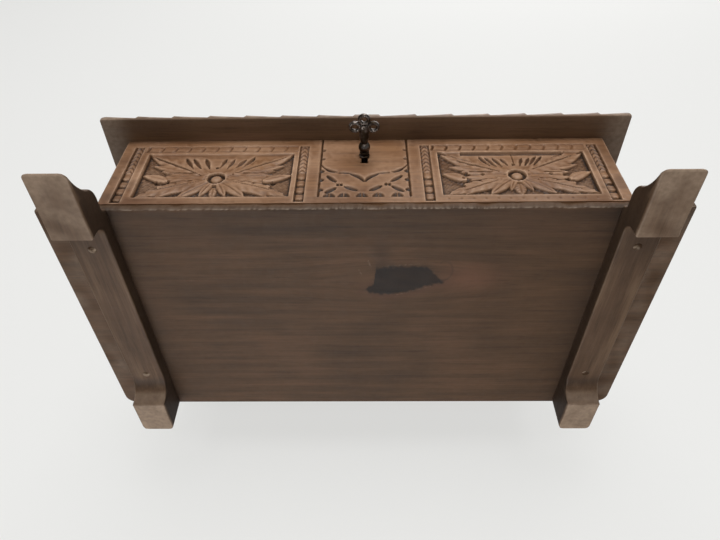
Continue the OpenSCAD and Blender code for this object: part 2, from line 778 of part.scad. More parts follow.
module strike_plate() {
    color("#6d6353") on_box() difference() {
        union() {
            translate([strike_x - strike_half, strike_y - strike_deep / 2, wall_top])
                cube([2 * strike_half, strike_deep, strike_t]);
            translate([staple_x, staple_y, staple_low]) cube([staple_t, staple_w, wall_top - staple_low + past]);
        }
        translate([staple_x - past, tongue_y - slide_gap, tongue_low - 0.4])
            cube([staple_t + 2 * past, bolt_t + 2 * slide_gap, tongue_h + 0.8]);
        at_strike_screws() screw(lid_screw, screw_gap);
    }
}

module strike_screws() {
    color("#4a4440") on_box() at_strike_screws() screw(lid_screw);
}

// Three pierced rings round a middle, lying flat
module bow() {
    lobes = [[0, -lobe_far], [-lobe_x, -lobe_near], [lobe_x, -lobe_near]];
    translate([0, 0, -bow_t / 2]) linear_extrude(bow_t) difference() {
        union() {
            for (p = lobes) translate(p) circle(r = bow_ring);
            polygon([[-lobe_x / 2, -lobe_near], [lobe_x / 2, -lobe_near], [neck_r, neck_y],
                     [neck_r, ball_y - 2], [-neck_r, ball_y - 2], [-neck_r, neck_y]]);
        }
        for (p = lobes) translate(p) circle(r = bow_hole);
    }
}

// The key rests turned a quarter from the slot, bow and bit level
module key() {
    color("#33302e") on_box() translate([0, 0, key_z]) difference() {
        union() {
            bow();
            translate([0, ball_y, 0]) sphere(r = ball_r);
            rotate([90, 0, 0]) translate([0, 0, -bit_to]) cylinder(r = shank_r, h = bit_to - ball_y);
            translate([0, collar_y, 0]) rotate([90, 0, 0]) cylinder(r = shank_r + 1.45, h = collar_t);
            translate([-bit_r, bit_from, -bit_t / 2]) cube([bit_r, bit_to - bit_from, bit_t]);
        }
        translate([0, bit_to + past, 0]) rotate([90, 0, 0])
            cylinder(r = drill_pin_r + run_gap, h = bit_to + past - plate_y + 0.4);
    }
}

base_board();
left_foot_rail();
right_foot_rail();
foot_screws();
front_panel();
back_panel();
left_side();
right_side();
lid_board();
left_hinge_box_leaf();
left_hinge_lid_leaf();
left_hinge_pin();
right_hinge_box_leaf();
right_hinge_lid_leaf();
right_hinge_pin();
hinge_box_screws();
hinge_lid_screws();
lock_case();
lock_cap();
drill_pin();
lock_bolt();
lock_screws();
cap_screws();
strike_plate();
strike_screws();
key();
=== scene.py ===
"""Desk letter box, dressed for a studio photograph.

A low box of dark stained wood stands on a wide board with two foot rails. Its front is carved,
its lid has a notched edge and a dark key sits in the lock. The photograph shows it lying on its
back on a white table, seen from the front and from below. Lengths in the classes are millimetres,
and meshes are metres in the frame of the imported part.
"""

import logging
import math
from dataclasses import dataclass, field
from enum import Enum
from typing import Callable, Sequence

import bpy
import numpy as np
from mathutils import Matrix, Vector


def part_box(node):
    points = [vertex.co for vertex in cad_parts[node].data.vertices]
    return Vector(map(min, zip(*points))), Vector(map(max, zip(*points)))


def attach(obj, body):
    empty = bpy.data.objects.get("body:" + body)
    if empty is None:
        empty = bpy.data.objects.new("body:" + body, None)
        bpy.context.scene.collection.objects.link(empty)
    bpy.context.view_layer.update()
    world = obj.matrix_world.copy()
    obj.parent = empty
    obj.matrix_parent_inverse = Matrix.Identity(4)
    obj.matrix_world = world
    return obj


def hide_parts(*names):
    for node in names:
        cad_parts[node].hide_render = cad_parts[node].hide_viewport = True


LOG = logging.getLogger("letter_box")
MM = 0.001
WHITE = (1.0, 1.0, 1.0, 1.0)
BLACK = (0.0, 0.0, 0.0, 1.0)
Array = np.ndarray
Point = tuple[float, float]
Place = tuple[float, float, float]


class Body(Enum):
    """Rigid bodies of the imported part."""

    BOX = "box"
    LID = "lid"
    KEY = "key"
    BOLT = "bolt"


class Grain(Enum):
    """Axis that the wood fibres run along."""

    X = 0
    Y = 1
    Z = 2


def node_box(name: str) -> tuple[Array, Array]:
    """Lowest and highest corner of a CAD node, in millimetres."""
    low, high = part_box(name)
    return np.array(low) / MM, np.array(high) / MM


def smooth(x: Array) -> Array:
    """Smooth ramp from 0 at x = 0 to 1 at x = 1: 3x^2 - 2x^3."""
    x = np.clip(x, 0.0, 1.0)
    return x * x * (3.0 - 2.0 * x)


def waves(x: Array, y: Array, seed: int, pitch: float, count: int = 9) -> Array:
    """Gentle random waviness: a sum of sines with random directions and phases.

    Args:
        x: first coordinate, millimetres.
        y: second coordinate, millimetres.
        seed: seed of the random directions.
        pitch: typical wavelength, millimetres.
        count: number of sines.

    Returns:
        Values of about -1 to 1.
    """
    rng = np.random.default_rng(seed)
    turn = rng.uniform(0, 2 * math.pi, count)
    phase = rng.uniform(0, 2 * math.pi, count)
    size = rng.uniform(0.6, 1.7, count) / pitch
    total = np.zeros(np.broadcast(x, y).shape)
    for a, p, k in zip(turn, phase, size):
        total += np.sin(2 * math.pi * k * (x * math.cos(a) + y * math.sin(a)) + p)
    return total / math.sqrt(count)


def rim_gap(x: Array, y: Array, span_x: Sequence[float], span_y: Sequence[float]) -> Array:
    """Distance to the nearest edge of a rectangle, above 0 inside it."""
    (x0, x1), (y0, y1) = span_x, span_y
    return np.minimum(np.minimum(x - x0, x1 - x), np.minimum(y - y0, y1 - y))


def rim(index: Array) -> list[int]:
    """Border of a grid's point numbers, once round."""
    return [*index[0, :-1], *index[:-1, -1], *index[-1, :0:-1], *index[:0:-1, 0]]


def bell(x: Array, middle: float, width: float) -> Array:
    """Bell curve: 1 at the middle, falling off over the width."""
    return np.exp(-(((x - middle) / width) ** 2))


def new_object(name: str, data: bpy.types.ID) -> bpy.types.Object:
    """Makes an object of the data and puts it into the scene."""
    obj = bpy.data.objects.new(name, data)
    bpy.context.scene.collection.objects.link(obj)
    return obj


class Mesh:
    """Collects grids of points and faces, and makes one Blender object of them."""

    def __init__(self, name: str) -> None:
        """Starts an empty mesh with the given object name."""
        self.name = name
        self.points: list[Array] = []
        self.faces: list[list[int]] = []
        self.values: dict[str, list[Array]] = {}
        self.count = 0

    def grid(self, pts: Array, flip: bool = False, wrap: bool = False, **values: Array) -> Array:
        """Adds a grid of points joined by quads.

        Args:
            pts: array (rows, columns, 3) in millimetres.
            flip: turns the faces round.
            wrap: joins the last column to the first.
            values: per-point attributes, each (rows, columns).

        Returns:
            The grid's point numbers, (rows, columns).
        """
        rows, cols = pts.shape[:2]
        index = np.arange(rows * cols).reshape(rows, cols) + self.count
        self.points.append(pts.reshape(-1, 3))
        for key in sorted(set(self.values) | set(values)):
            if key not in self.values:
                self.values[key] = [np.zeros(self.count)]
            got = values.get(key)
            self.values[key].append(np.zeros(rows * cols) if got is None else np.asarray(got).ravel())
        self.count += rows * cols
        self.quads(index, flip, wrap)
        return index

    def quads(self, index: Array, flip: bool = False, wrap: bool = False) -> None:
        """Joins a grid of point numbers with quads."""
        right = np.roll(index, -1, axis=1) if wrap else index[:, 1:]
        left = index if wrap else index[:, :-1]
        quads = np.stack([left[:-1], right[:-1], right[1:], left[1:]], axis=-1).reshape(-1, 4)
        self.faces.extend((quads[:, ::-1] if flip else quads).tolist())

    def face(self, loop: Sequence[int], flip: bool = False) -> None:
        """Adds one flat face over a loop of point numbers."""
        loop = [int(i) for i in loop]
        self.faces.append(loop[::-1] if flip else loop)

    def join(self, upper: Sequence[int], lower: Sequence[int]) -> None:
        """Joins two rings of point numbers, the upper one over the lower one, with quads."""
        count = len(upper)
        for i in range(count):
            k = (i + 1) % count
            self.face([lower[i], lower[k], upper[k], upper[i]])

    def build(
        self, body: Body, slot: str, material: bpy.types.Material, sharp: float = 35.0
    ) -> bpy.types.Object:
        """Makes the object, shades it and lets it ride on a body.

        Args:
            body: the body it moves with.
            slot: the record's material slot; not used.
            material: its material.
            sharp: angle in degrees above which an edge stays crisp.

        Returns:
            The new object.
        """
        data = bpy.data.meshes.new(self.name)
        pts = np.concatenate(self.points) * MM
        data.from_pydata(pts, [], self.faces)
        for key, parts in self.values.items():
            layer = data.attributes.new(key, "FLOAT", "POINT")
            layer.data.foreach_set("value", np.concatenate(parts).astype(np.float32))
        data.validate()
        data.polygons.foreach_set("use_smooth", np.ones(len(data.polygons), dtype=bool))
        data.set_sharp_from_angle(angle=math.radians(sharp))
        data.materials.append(material)
        data.update()
        obj = new_object(self.name, data)
        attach(obj, body.value)
        LOG.info("%s: %d points, %d faces", self.name, len(pts), len(self.faces))
        return obj


def linear(hex_code: str) -> tuple[float, float, float, float]:
    """Turns an sRGB hex colour such as 7a5a41 into linear RGBA."""
    parts = [int(hex_code[i : i + 2], 16) / 255 for i in (0, 2, 4)]
    out = [c / 12.92 if c <= 0.04045 else ((c + 0.055) / 1.055) ** 2.4 for c in parts]
    return out[0], out[1], out[2], 1.0


class Nodes:
    """A node tree under construction."""

    def __init__(self, owner: bpy.types.ID, out: str = "OutputMaterial") -> None:
        """Empties the tree of a material or a world and gives it its output."""
        owner.use_nodes = True
        self.tree = owner.node_tree
        self.tree.nodes.clear()
        self.out = self.add(out)

    def add(self, kind: str, inputs: dict | None = None, **settings: object) -> bpy.types.Node:
        """Adds a node.

        Args:
            kind: Blender's node type without the word ShaderNode.
            inputs: values or sockets for its inputs, by name or number.
            settings: attributes of the node.

        Returns:
            The node.
        """
        node = self.tree.nodes.new("ShaderNode" + kind)
        for key, value in settings.items():
            setattr(node, key, value)
        for key, value in (inputs or {}).items():
            if isinstance(value, bpy.types.NodeSocket):
                self.tree.links.new(value, node.inputs[key])
            else:
                node.inputs[key].default_value = value
        return node

    def math(self, op: str, a: object, b: object = 0.0, clamp: bool = False) -> bpy.types.NodeSocket:
        """Adds a math node and returns its result."""
        return self.add("Math", {0: a, 1: b}, operation=op, use_clamp=clamp).outputs[0]

    def scaled(self, value: object, factor: float, plus: float) -> bpy.types.NodeSocket:
        """Multiplies a value and adds to it."""
        return self.math("ADD", self.math("MULTIPLY", value, factor), plus)

    def noise(self, place: object, pitch: float, detail: float, rough: float = 0.5) -> bpy.types.NodeSocket:
        """Adds noise with a pitch in millimetres and returns its value."""
        inputs = {"Vector": place, "Scale": 1000 / pitch, "Detail": detail, "Roughness": rough}
        return self.add("TexNoise", inputs).outputs["Fac"]

    def attribute(self, name: str, output: str = "Fac") -> bpy.types.NodeSocket:
        """Reads an attribute of the mesh's points."""
        return self.add("Attribute", attribute_name=name).outputs[output]

    def ramp(self, fac: object, stops: Sequence[tuple[float, tuple]]) -> bpy.types.NodeSocket:
        """Adds a colour ramp with the given (place, colour) stops and returns its colour."""
        node = self.add("ValToRGB", {0: fac})
        bar = node.color_ramp.elements
        while len(bar) < len(stops):
            bar.new(0.5)
        for item, (place, colour) in zip(bar, stops):
            item.position = place
            item.color = colour
        return node.outputs[0]

    def mix(self, fac: object, a: object, b: object, blend: str = "MIX") -> bpy.types.NodeSocket:
        """Mixes two colours and returns the result."""
        return self.add("Mix", {0: fac, 6: a, 7: b}, data_type="RGBA", blend_type=blend).outputs[2]

    def finish(self, shader: bpy.types.Node) -> None:
        """Links a shader to the output."""
        self.tree.links.new(shader.outputs[0], self.out.inputs[0])


@dataclass(frozen=True)
class StainedWood:
    """Fine-grained hardwood, planed, stained brown and waxed; raised places are worn paler.

    The fibres show as long soft streaks, the pores as short dark dashes, and the wax gives a
    low, uneven gloss. Colours are sRGB hex values; lengths are millimetres.
    """

    name: str
    dark: str
    body: str
    light: str
    # Pale colour of worn wood, also used for painted light.
    worn: str
    # Dark colour of dirt, dark wood and painted shade.
    grime: str = "20140b"
    grain: Grain = Grain.X
    streak: float = 8.0
    pore: float = 1.76
    thread: float = 1.1
    patch: float = 55.0
    scuff: float = 3.5
    streak_draw: float = 15.0
    thread_draw: float = 60.0
    gloss: float = 0.5
    shine: float = 0.35
    bump: float = 0.3
    bump_high: float = 0.0004
    knot: bool = False
    heart: str = "6b4632"
    seed: float = 0.0

    def drawn_out(self, n: Nodes, place: object, times: float, seed: float) -> bpy.types.NodeSocket:
        """Coordinates that draw a pattern out along the grain a number of times."""
        scale = [1.0, 1.0, 1.0]
        scale[self.grain.value] = 1 / times
        inputs = {"Vector": place, "Scale": tuple(scale), "Location": (seed,) * 3}
        return n.add("Mapping", inputs).outputs[0]

    def make(self) -> bpy.types.Material:
        """Builds the material.

        Streaks, pores and threads are noise drawn out along the grain. The point attributes
        rub and grime, where a mesh has them, blend in the worn colour, which also
        serves as painted light, and the dark colour of dirt and painted shade. A board with a knot brings
        its own grain coordinates, flow, and the reddish wood round the knot, warm.

        Returns:
            The material.
        """
        material = bpy.data.materials.new(self.name)
        n = Nodes(material)
        place = n.attribute("flow", "Vector") if self.knot else n.add("TexCoord").outputs["Object"]
        lie = self.drawn_out(n, place, self.streak_draw, self.seed)
        broad = n.noise(lie, self.streak, 5.0, 0.6)
        fine = n.noise(lie, self.pore, 3.0, 0.7)
        patch = n.noise(place, self.patch, 2.0)
        figure = n.math("ADD", n.math("MULTIPLY", broad, 0.62), n.math("MULTIPLY", patch, 0.38))
        shades = [linear(shade) for shade in (self.dark, self.body, self.light)]
        colour = n.ramp(figure, tuple(zip((0.36, 0.5, 0.64), shades)))
        pores = n.ramp(fine, ((0.34, (0.66, 0.64, 0.62, 1)), (0.46, WHITE)))
        colour = n.mix(0.7, colour, pores, "MULTIPLY")
        fibre = n.noise(self.drawn_out(n, place, self.thread_draw, self.seed + 5), self.thread, 2.0, 0.6)
        bright = (1.15, 1.15, 1.15, 1)
        threads = n.ramp(fibre, ((0.3, (0.8, 0.78, 0.76, 1)), (0.55, WHITE), (0.75, bright)))
        colour = n.mix(0.7, colour, threads, "MULTIPLY")
        if self.knot:
            warm = n.math("MULTIPLY", n.attribute("warm"), 0.55, clamp=True)
            colour = n.mix(warm, colour, linear(self.heart))
        scuff = n.noise(place, self.scuff, 4.0)
        # Paler where worn, and painted light where the mesh's attribute carries it.
        wear_and_light_amount = n.math("MULTIPLY", n.attribute("rub"), n.scaled(scuff, 1.3, 0.25), clamp=True)
        colour = n.mix(wear_and_light_amount, colour, linear(self.worn))
        # Darker with dirt, dark wood and painted shade, as the mesh's attribute says.
        dirt_and_shade_amount = n.math("MULTIPLY", n.attribute("grime"), 0.96, clamp=True)
        colour = n.mix(dirt_and_shade_amount, colour, linear(self.grime))
        rough = n.scaled(scuff, 0.22, self.gloss - 0.11)
        height = n.math("ADD", n.math("MULTIPLY", fine, 0.5), n.math("MULTIPLY", broad, 0.5))
        bump = n.add("Bump", {"Strength": self.bump, "Distance": self.bump_high, "Height": height})
        look = {"Base Color": colour, "Roughness": rough, "Normal": bump.outputs[0], "IOR": 1.45}
        n.finish(n.add("BsdfPrincipled", {**look, "Specular IOR Level": self.shine}))
        return material


@dataclass(frozen=True)
class OldMetal:
    """Iron, steel or brass, hammered, cast or turned, dulled by age.

    Broad patches of brown patina lie over the metal, and fine pits break its gloss up.
    """

    name: str
    metal: str
    patina: str
    cover: float = 0.5
    rough: float = 0.4
    pit: float = 0.8
    bump: float = 0.3
    bump_high: float = 0.0002

    def make(self) -> bpy.types.Material:
        """Builds the material: noise mixes metal and patina, and fine noise gives the pits."""
        material = bpy.data.materials.new(self.name)
        n = Nodes(material)
        place = n.add("TexCoord").outputs["Object"]
        patch = n.noise(place, 6 * self.pit, 5.0)
        pits = n.noise(place, self.pit, 3.0)
        level = 0.5 + 0.25 * (self.cover - 0.5)
        spread = n.ramp(patch, ((level - 0.08, WHITE), (level + 0.08, BLACK)))
        colour = n.mix(spread, linear(self.metal), linear(self.patina))
        pitted = n.scaled(pits, 0.2, self.rough - 0.1)
        rough = n.math("ADD", n.math("MULTIPLY", spread, 0.22), pitted)
        bump = n.add("Bump", {"Strength": self.bump, "Distance": self.bump_high, "Height": pits})
        look = {"Base Color": colour, "Roughness": rough, "Normal": bump.outputs[0], "Metallic": 1.0}
        n.finish(n.add("BsdfPrincipled", look))
        return material


WOODS = {
    "front_wood": StainedWood(
        "waxed_walnut_carved", "66432a", "765236", "886344", "b49378", streak=7.0, gloss=0.46
    ),
    "wall_wood": StainedWood(
        "waxed_walnut_plain", "54382a", "654636", "765440", "9c7c66", grain=Grain.Y, seed=3.0
    ),
    "back_wood": StainedWood(
        "waxed_walnut_rear", "523829", "604232", "70503d", "9c7c66", gloss=0.55, seed=5.0
    ),
    "lid_wood": StainedWood(
        "waxed_walnut_lid", "4f3826", "5c442f", "6a4f3b", "9e8b79", gloss=0.45, seed=7.0
    ),
    "board_wood": StainedWood(
        "dry_walnut_board", "432e1b", "4f3721", "5b402a", "9a8877", "1a110b", streak=6.0, gloss=0.6,
        knot=True,
    ),
    "rail_wood": StainedWood(
        "worn_walnut_rail", "4a3522", "58412e", "69523d", "9b8570", "1d130c", Grain.Y, 6.0, gloss=0.55,
        seed=9.0,
    ),
}
METALS = {
    "hinge_iron": OldMetal("forged_iron_hinge", "4a4643", "2a221c", 0.6, 0.5, 1.0, 0.4),
    "lock_iron": OldMetal("rolled_iron_lock", "6b645c", "3b2e24", rough=0.45, pit=1.0),
    "screw_steel": OldMetal("turned_steel_screw", "8d877f", "4a3c30", cover=0.4, bump=0.2),
    "foot_steel": OldMetal("stained_steel_screw", "8a7a6a", "5a4636", cover=0.7, rough=0.6),
    "bolt_brass": OldMetal("filed_brass_bolt", "b08d4f", "6a5430", cover=0.4, rough=0.35, bump=0.2),
    "key_bronze": OldMetal("polished_iron_key", "6a625d", "33291f", 0.45, 0.24, 1.4, 0.1),
}


@dataclass
class Leaf:
    """One carved leaf or petal. Its spine is a quadratic curve from base through bend to tip.

    Coordinates are millimetres from the boss, right and up. The bow bends the spine to its left;
    up and down are the half widths on the spine's left and right, and rise is the height. Lobes
    are cut into one edge, on the left where lobe_side is 1. The vein is a groove along the spine,
    and the ribs are fine waves that slant away from it.
    """

    base: Point
    tip: Point
    bow: float = 0.0
    up: float = 3.0
    down: float = 3.0
    rise: float = 2.2
    lobes: int = 0
    lobe_side: int = -1
    vein: float = 0.6
    ribs: int = 0

    def height(self, a: Array, b: Array) -> Array:
        """Height of the leaf over the ground at points (a, b), and 0 outside it.

        The nearest point of the spine gives t along it and s across it. The width swells from
        the base and closes at the tip. Lobes cut saw-like steps into one edge, a groove follows
        the spine, and ribs slant from it to the edges.

        Args:
            a: distance to the right of the boss.
            b: distance above the boss.

        Returns:
            Height in millimetres.
        """
        p0 = np.array(self.base)
        p2 = np.array(self.tip)
        run = p2 - p0
        length = float(np.hypot(*run))
        side = np.array([-run[1], run[0]]) / length
        p1 = (p0 + p2) / 2 + side * self.bow
        t = np.linspace(0, 1, 41)[:, None]
        spine = (1 - t) ** 2 * p0 + 2 * t * (1 - t) * p1 + t * t * p2
        slope = np.gradient(spine, axis=0)
        slope /= np.hypot(slope[:, 0], slope[:, 1])[:, None]
        reach = max(self.up, self.down) * 1.5 + 1
        near = (
            (a > spine[:, 0].min() - reach)
            & (a < spine[:, 0].max() + reach)
            & (b > spine[:, 1].min() - reach)
            & (b < spine[:, 1].max() + reach)
        )
        out = np.zeros(a.shape)
        q = np.stack([a[near], b[near]], -1)
        gap = q[:, None, :] - spine[None]
        best = (gap**2).sum(-1).argmin(1)
        d = gap[np.arange(len(q)), best]
        along = (d * slope[best]).sum(-1)
        s = slope[best, 0] * d[:, 1] - slope[best, 1] * d[:, 0]
        u = best / 40 + along / length
        inside = (u > -0.02) & (u < 1.0)
        u = np.clip(u, 1e-4, 1.0)
        swell = np.sin(math.pi * u**0.75) ** 0.8
        wide = np.where(s > 0, self.up, self.down) * swell
        if self.lobes:
            saw = (u * self.lobes + 0.35) % 1.0
            cut = np.where(s * self.lobe_side > 0, 1.18 * (0.52 + 0.48 * saw**0.6), 1.0)
            wide = wide * np.where((u > 0.25) & (u < 0.97), cut, 1.0)
        across = np.abs(s) / np.maximum(wide, 1e-3)
        body = self.rise * (1 - 0.5 * across**2.2) * (0.72 + 0.28 * smooth(1.6 * (1 - u)))
        body -= self.vein * np.exp(-((s / 0.55) ** 2)) * smooth(4 * (1 - u))
        if self.ribs:
            body += 0.22 * np.cos(2 * math.pi * (u * self.ribs - 0.55 * across)) * smooth(across * 2)
        edge = smooth((1 - across) * wide / 0.7)
        out[near] = np.where(inside & (across < 1), body * edge, 0.0)
        return out


def lobe(base: Point, tip: Point, bow: float) -> Leaf:
    """Small side lobe of a leaf."""
    return Leaf(base, tip, bow, 3.4, 3.4, 2.3, vein=0.6)


@dataclass
class Field:
    """One sunk field of the front: place of its boss, its leaves, drilled eyes, grooves and limits.

    A groove is (start, end, width, depth). All but the limits count from the boss.
    """

    centre: Point
    leaves: list[Leaf]
    eyes: list[Point]
    grooves: list[tuple[Point, Point, float, float]]
    span_x: Point
    span_z: Point
    stipple: float


def drop(a: Array, b: Array, x: float, z: float, rx: float, rz: float) -> Array:
    """Round hollow: 1 at (x, z), falling to 0 on an ellipse of radii rx and rz."""
    r = np.hypot((a - x) / rx, (b - z) / rz)
    return np.clip(1 - r**2, 0, 1)


def along_line(a: Array, b: Array, start: Point, end: Point) -> tuple[Array, Array]:
    """Place along a line, 0 at its start and 1 at its end, and distance to its left."""
    p0 = np.array(start)
    run = np.array(end) - p0
    length = float(np.hypot(*run))
    run = run / length
    u = ((a - p0[0]) * run[0] + (b - p0[1]) * run[1]) / length
    return u, -(a - p0[0]) * run[1] + (b - p0[1]) * run[0]


def chip(a: Array, b: Array, start: Point, end: Point, wide: float, bow: float = 0.0) -> Array:
    """Lens-shaped knife cut from start to end: depth 1 on its bowed middle line, 0 at its edges.

    Args:
        a: first coordinate, millimetres.
        b: second coordinate, millimetres.
        start: one end of the cut.
        end: the other end.
        wide: full width at the middle.
        bow: sideways bulge of the middle line.

    Returns:
        Depth from 0 to 1.
    """
    u, s = along_line(a, b, start, end)
    arch = 4 * u * (1 - u)
    half = wide / 2 * np.sqrt(np.clip(arch, 1e-6, 1))
    depth = 1 - np.abs(s - bow * arch) / half
    return np.where((u > 0) & (u < 1), np.clip(depth, 0, 1), 0.0)


def gouge(a: Array, b: Array, start: Point, end: Point, wide: float) -> Array:
    """Round-bottomed cut, widest two thirds along from start to end: depth 1 in its middle."""
    u, s = along_line(a, b, start, end)
    swell = np.sin(math.pi * np.clip(u, 0, 1) ** 1.6) ** 0.7
    across = s / np.maximum(wide / 2 * swell, 1e-3)
    return np.where((u > 0) & (u < 1), np.sqrt(np.clip(1 - across**2, 0, 1)), 0.0)


@dataclass
class CarvedFront:
    """The carved front board: two leaf fields, a plain middle with knife cuts, and the keyhole."""

    step: float = 0.56
    field_deep: float = 2.7
    boss: float = 3.9
    ring_hollow: float = 6.3
    ring: float = 8.2
    border_deep: float = 1.7
    channels: tuple[float, ...] = (-159.4, -42.0, 42.2, 159.4)
    channel_half: float = 3.35
    channel_z: Point = (33.6, 97.6)
    scale_pitch: float = 7.6
    chevron_pitch: float = 4.6
    chevrons_from: float = 64.0
    cushions: int = 11
    cushion_z: Point = (90.6, 98.2)
    panel_half: float = 29.7
    panel_deep: float = 1.6
    key_up: float = 83.7
    hole: float = 2.6
    slot_low: float = 7.8
    hole_deep: float = 7.8
    fields: list[Field] = field(default_factory=list)

    def __post_init__(self) -> None:
        """Reads the board's place and sets out both fields."""
        self.low, self.high = node_box("front_panel")
        self.mid = (self.low[0] + self.high[0]) / 2
        self.fields = [self.left_field(), self.right_field()]

    def left_field(self) -> Field:
        """Leaves of the left field, millimetres from its boss."""
        leaves = [
            Leaf((-4, 3.5), (-51, 28.5), 2.6, 7.4, 8.2, 2.6, 4, -1, 0.0, 7),
            Leaf((4, 3.5), (49, 27.5), -2.6, 8.2, 7.4, 2.6, 4, 1, 0.0, 7),
            Leaf((-4, -3), (-51.5, -20.5), -2.4, 6.2, 7.0, 2.6, 4, -1, 0.0, 7),
            Leaf((4, -3), (50, -20.5), 2.4, 7.0, 6.2, 2.6, 4, 1, 0.0, 7),
            Leaf((-6, 1), (-41, 1.5), 1.0, 4.4, 4.4, 2.2, 0, 1, 0.3, 4),
            Leaf((6, 1), (40, 0.5), -1.0, 4.4, 4.4, 2.2, 0, 1, 0.3, 4),
            Leaf((-32, -3.5), (-51, 4.2), -2.4, 3.6, 4.6, 2.5, 0, 1, 0.4, 0),
            Leaf((31, -4), (51, 3.4), 2.4, 4.6, 3.6, 2.5, 0, 1, 0.4, 0),
            Leaf((-4.4, -5), (-23, -21.4), -1.6, 4.4, 4.8, 2.4, 0, 1, 0.7, 0),
            Leaf((4.4, -5), (22, -21.2), 1.6, 4.8, 4.4, 2.4, 0, 1, 0.7, 0),
            Leaf((-1.6, -4), (-8.6, -19.4), -0.8, 3.4, 3.4, 2.4, 0, 1, 0.8, 0),
            Leaf((1.6, -4), (8.6, -19.4), 0.8, 3.4, 3.4, 2.4, 0, 1, 0.8, 0),
            Leaf((0, -9), (0, -21.6), 0.0, 3.0, 3.0, 1.6, 0, 1, 0.5, 4),
            lobe((-20, 9), (-47, 16.5), 1.6),
            lobe((-17, 6), (-40, 10), 1.2),
            lobe((-14, 3), (-36, 4.2), 0.8),
            lobe((-17, -7), (-38.5, -21.2), -1.8),
            lobe((20, 9), (45, 16), -1.6),
            lobe((17, 6), (39, 10), -1.2),
            lobe((14, 3), (38, 4.4), -0.8),
            lobe((17, -7), (37.5, -21.2), 1.8),
        ]
        grooves = [
            ((-9, 2.4), (-49, 26.6), 1.5, 1.5),
            ((8, 2.6), (46, 25.6), 1.5, 1.5),
            ((-9, -3), (-46, -15), 1.2, 0.9),
            ((9, -3), (45, -15), 1.2, 0.9),
            ((-17, 10), (-25, 24.5), 3.2, 1.5),
            ((-11.5, 10), (-19.5, 23.5), 3.2, 1.4),
            ((-6, 10.5), (-11, 23.5), 3.2, 1.5),
            ((0.6, 12), (3.4, 23.5), 2.8, 1.2),
            ((5.6, 11), (9.2, 22.5), 2.8, 1.3),
            ((10.6, 10.5), (17, 22.5), 3.2, 1.4),
            ((15.5, 10.5), (23, 25.5), 3.2, 1.5),
            ((-12, -1.5), (-34, -3.8), 1.0, 1.0),
            ((12, -2), (36, -6.2), 1.0, 1.0),
            ((-12, 5.5), (-36, 7.5), 1.0, 1.0),
            ((12, 5.5), (37, 7), 1.0, 1.0),
        ]
        eyes = [(-1.4, 12.6), (-40, -3.2), (-38.2, 5.4), (38.4, -4.6)]
        return Field((-98.9, 60.0), leaves, eyes, grooves, (-150.7, -48.6), (39.0, 88.6), 0.0)

    def right_field(self) -> Field:
        """Leaves of the right field, millimetres from its boss."""
        leaves = [
            Leaf((-4, 3), (-49.5, 25.6), 2.2, 7.4, 8.0, 2.6, 4, -1, 0.0, 7),
            Leaf((4, 3), (49.5, 26.2), -2.2, 8.0, 7.4, 2.6, 4, 1, 0.0, 7),
            Leaf((-4, -3), (-49, -21.2), -2.2, 5.8, 7.0, 2.6, 4, -1, 0.0, 7),
            Leaf((4, -3), (50.5, -19.6), 2.2, 7.0, 5.8, 2.6, 4, 1, 0.0, 7),
            Leaf((-6, 0), (-37, -1), 0.6, 3.6, 3.6, 2.2, 0, 1, 0.0, 0),
            Leaf((6, 0), (38, -1.6), -0.6, 3.6, 3.6, 2.2, 0, 1, 0.0, 0),
            Leaf((-34, -6), (-50, 2.6), -2.8, 3.8, 5.0, 2.6, 0, 1, 0.2, 0),
            Leaf((34, -6), (50.5, 4.0), 2.8, 5.0, 3.8, 2.6, 0, 1, 0.2, 0),
            Leaf((-4.4, -5), (-20.5, -20.4), -1.4, 4.2, 4.8, 2.4, 0, 1, 0.7, 0),
            Leaf((4.4, -5), (23, -19.4), 1.4, 4.8, 4.2, 2.4, 0, 1, 0.7, 0),
            Leaf((-1.6, -4), (-6.4, -16.0), -0.8, 2.8, 2.8, 2.4, 0, 1, 0.8, 0),
            Leaf((1.6, -4), (8.4, -16.4), 0.8, 3.0, 3.0, 2.4, 0, 1, 0.8, 0),
            Leaf((0, -8), (0, -20.6), 0.0, 4.4, 4.4, 1.7, 0, 1, 0.4, 6),
            lobe((-20, 7), (-45.5, 11.5), 1.4),
            lobe((-16, 4), (-38, 5.6), 1.0),
            lobe((-17, -7), (-37, -20.6), -1.8),
            lobe((20, 8), (44, 14), -1.4),
            lobe((16, 4), (36, 5.4), -1.0),
            lobe((17, -7), (38, -20), 1.8),
        ]
        grooves = [
            ((-8.5, 2.6), (-39, 17.6), 1.5, 1.5),
            ((8, 4.4), (41, 23), 1.5, 1.5),
            ((-27, 14.5), (-44, 24.5), 1.1, 0.8),
            ((25.5, 19.5), (37.5, 27), 1.3, 0.9),
            ((-9, -4), (-38, -16.6), 1.1, 0.9),
            ((9, -4), (40, -15.6), 1.1, 0.9),
            ((-16, 9), (-22.6, 22.6), 3.2, 1.6),
            ((-12, 9), (-18.4, 21.6), 3.2, 1.5),
            ((-8, 9.6), (-13.4, 20.6), 2.8, 1.4),
            ((-3.8, 11), (-8.2, 19.8), 2.6, 1.3),
            ((3.8, 11), (6.2, 20), 2.6, 1.2),
            ((7, 10.6), (11.4, 20.4), 2.8, 1.4),
            ((9.6, 11), (16.4, 22.4), 2.8, 1.4),
            ((12.6, 11), (20.4, 22.6), 2.8, 1.4),
            ((0, 12), (0.2, 27), 0.9, 0.8),
            ((-12, 3.6), (-31, 5.2), 1.0, 1.0),
            ((12, 3.6), (34, 4.4), 1.0, 1.0),
            ((-12, -3), (-33, -5.4), 1.1, 1.1),
            ((12, -3), (34, -5.0), 1.1, 1.1),
        ]
        eyes = [(-0.3, 13.0), (-22.8, 1.3), (22.6, 1.9), (-35.6, -2.6), (-33.4, 3.6)]
        return Field((101.5, 61.3), leaves, eyes, grooves, (50.4, 151.6), (39.6, 88.6), 23.4)

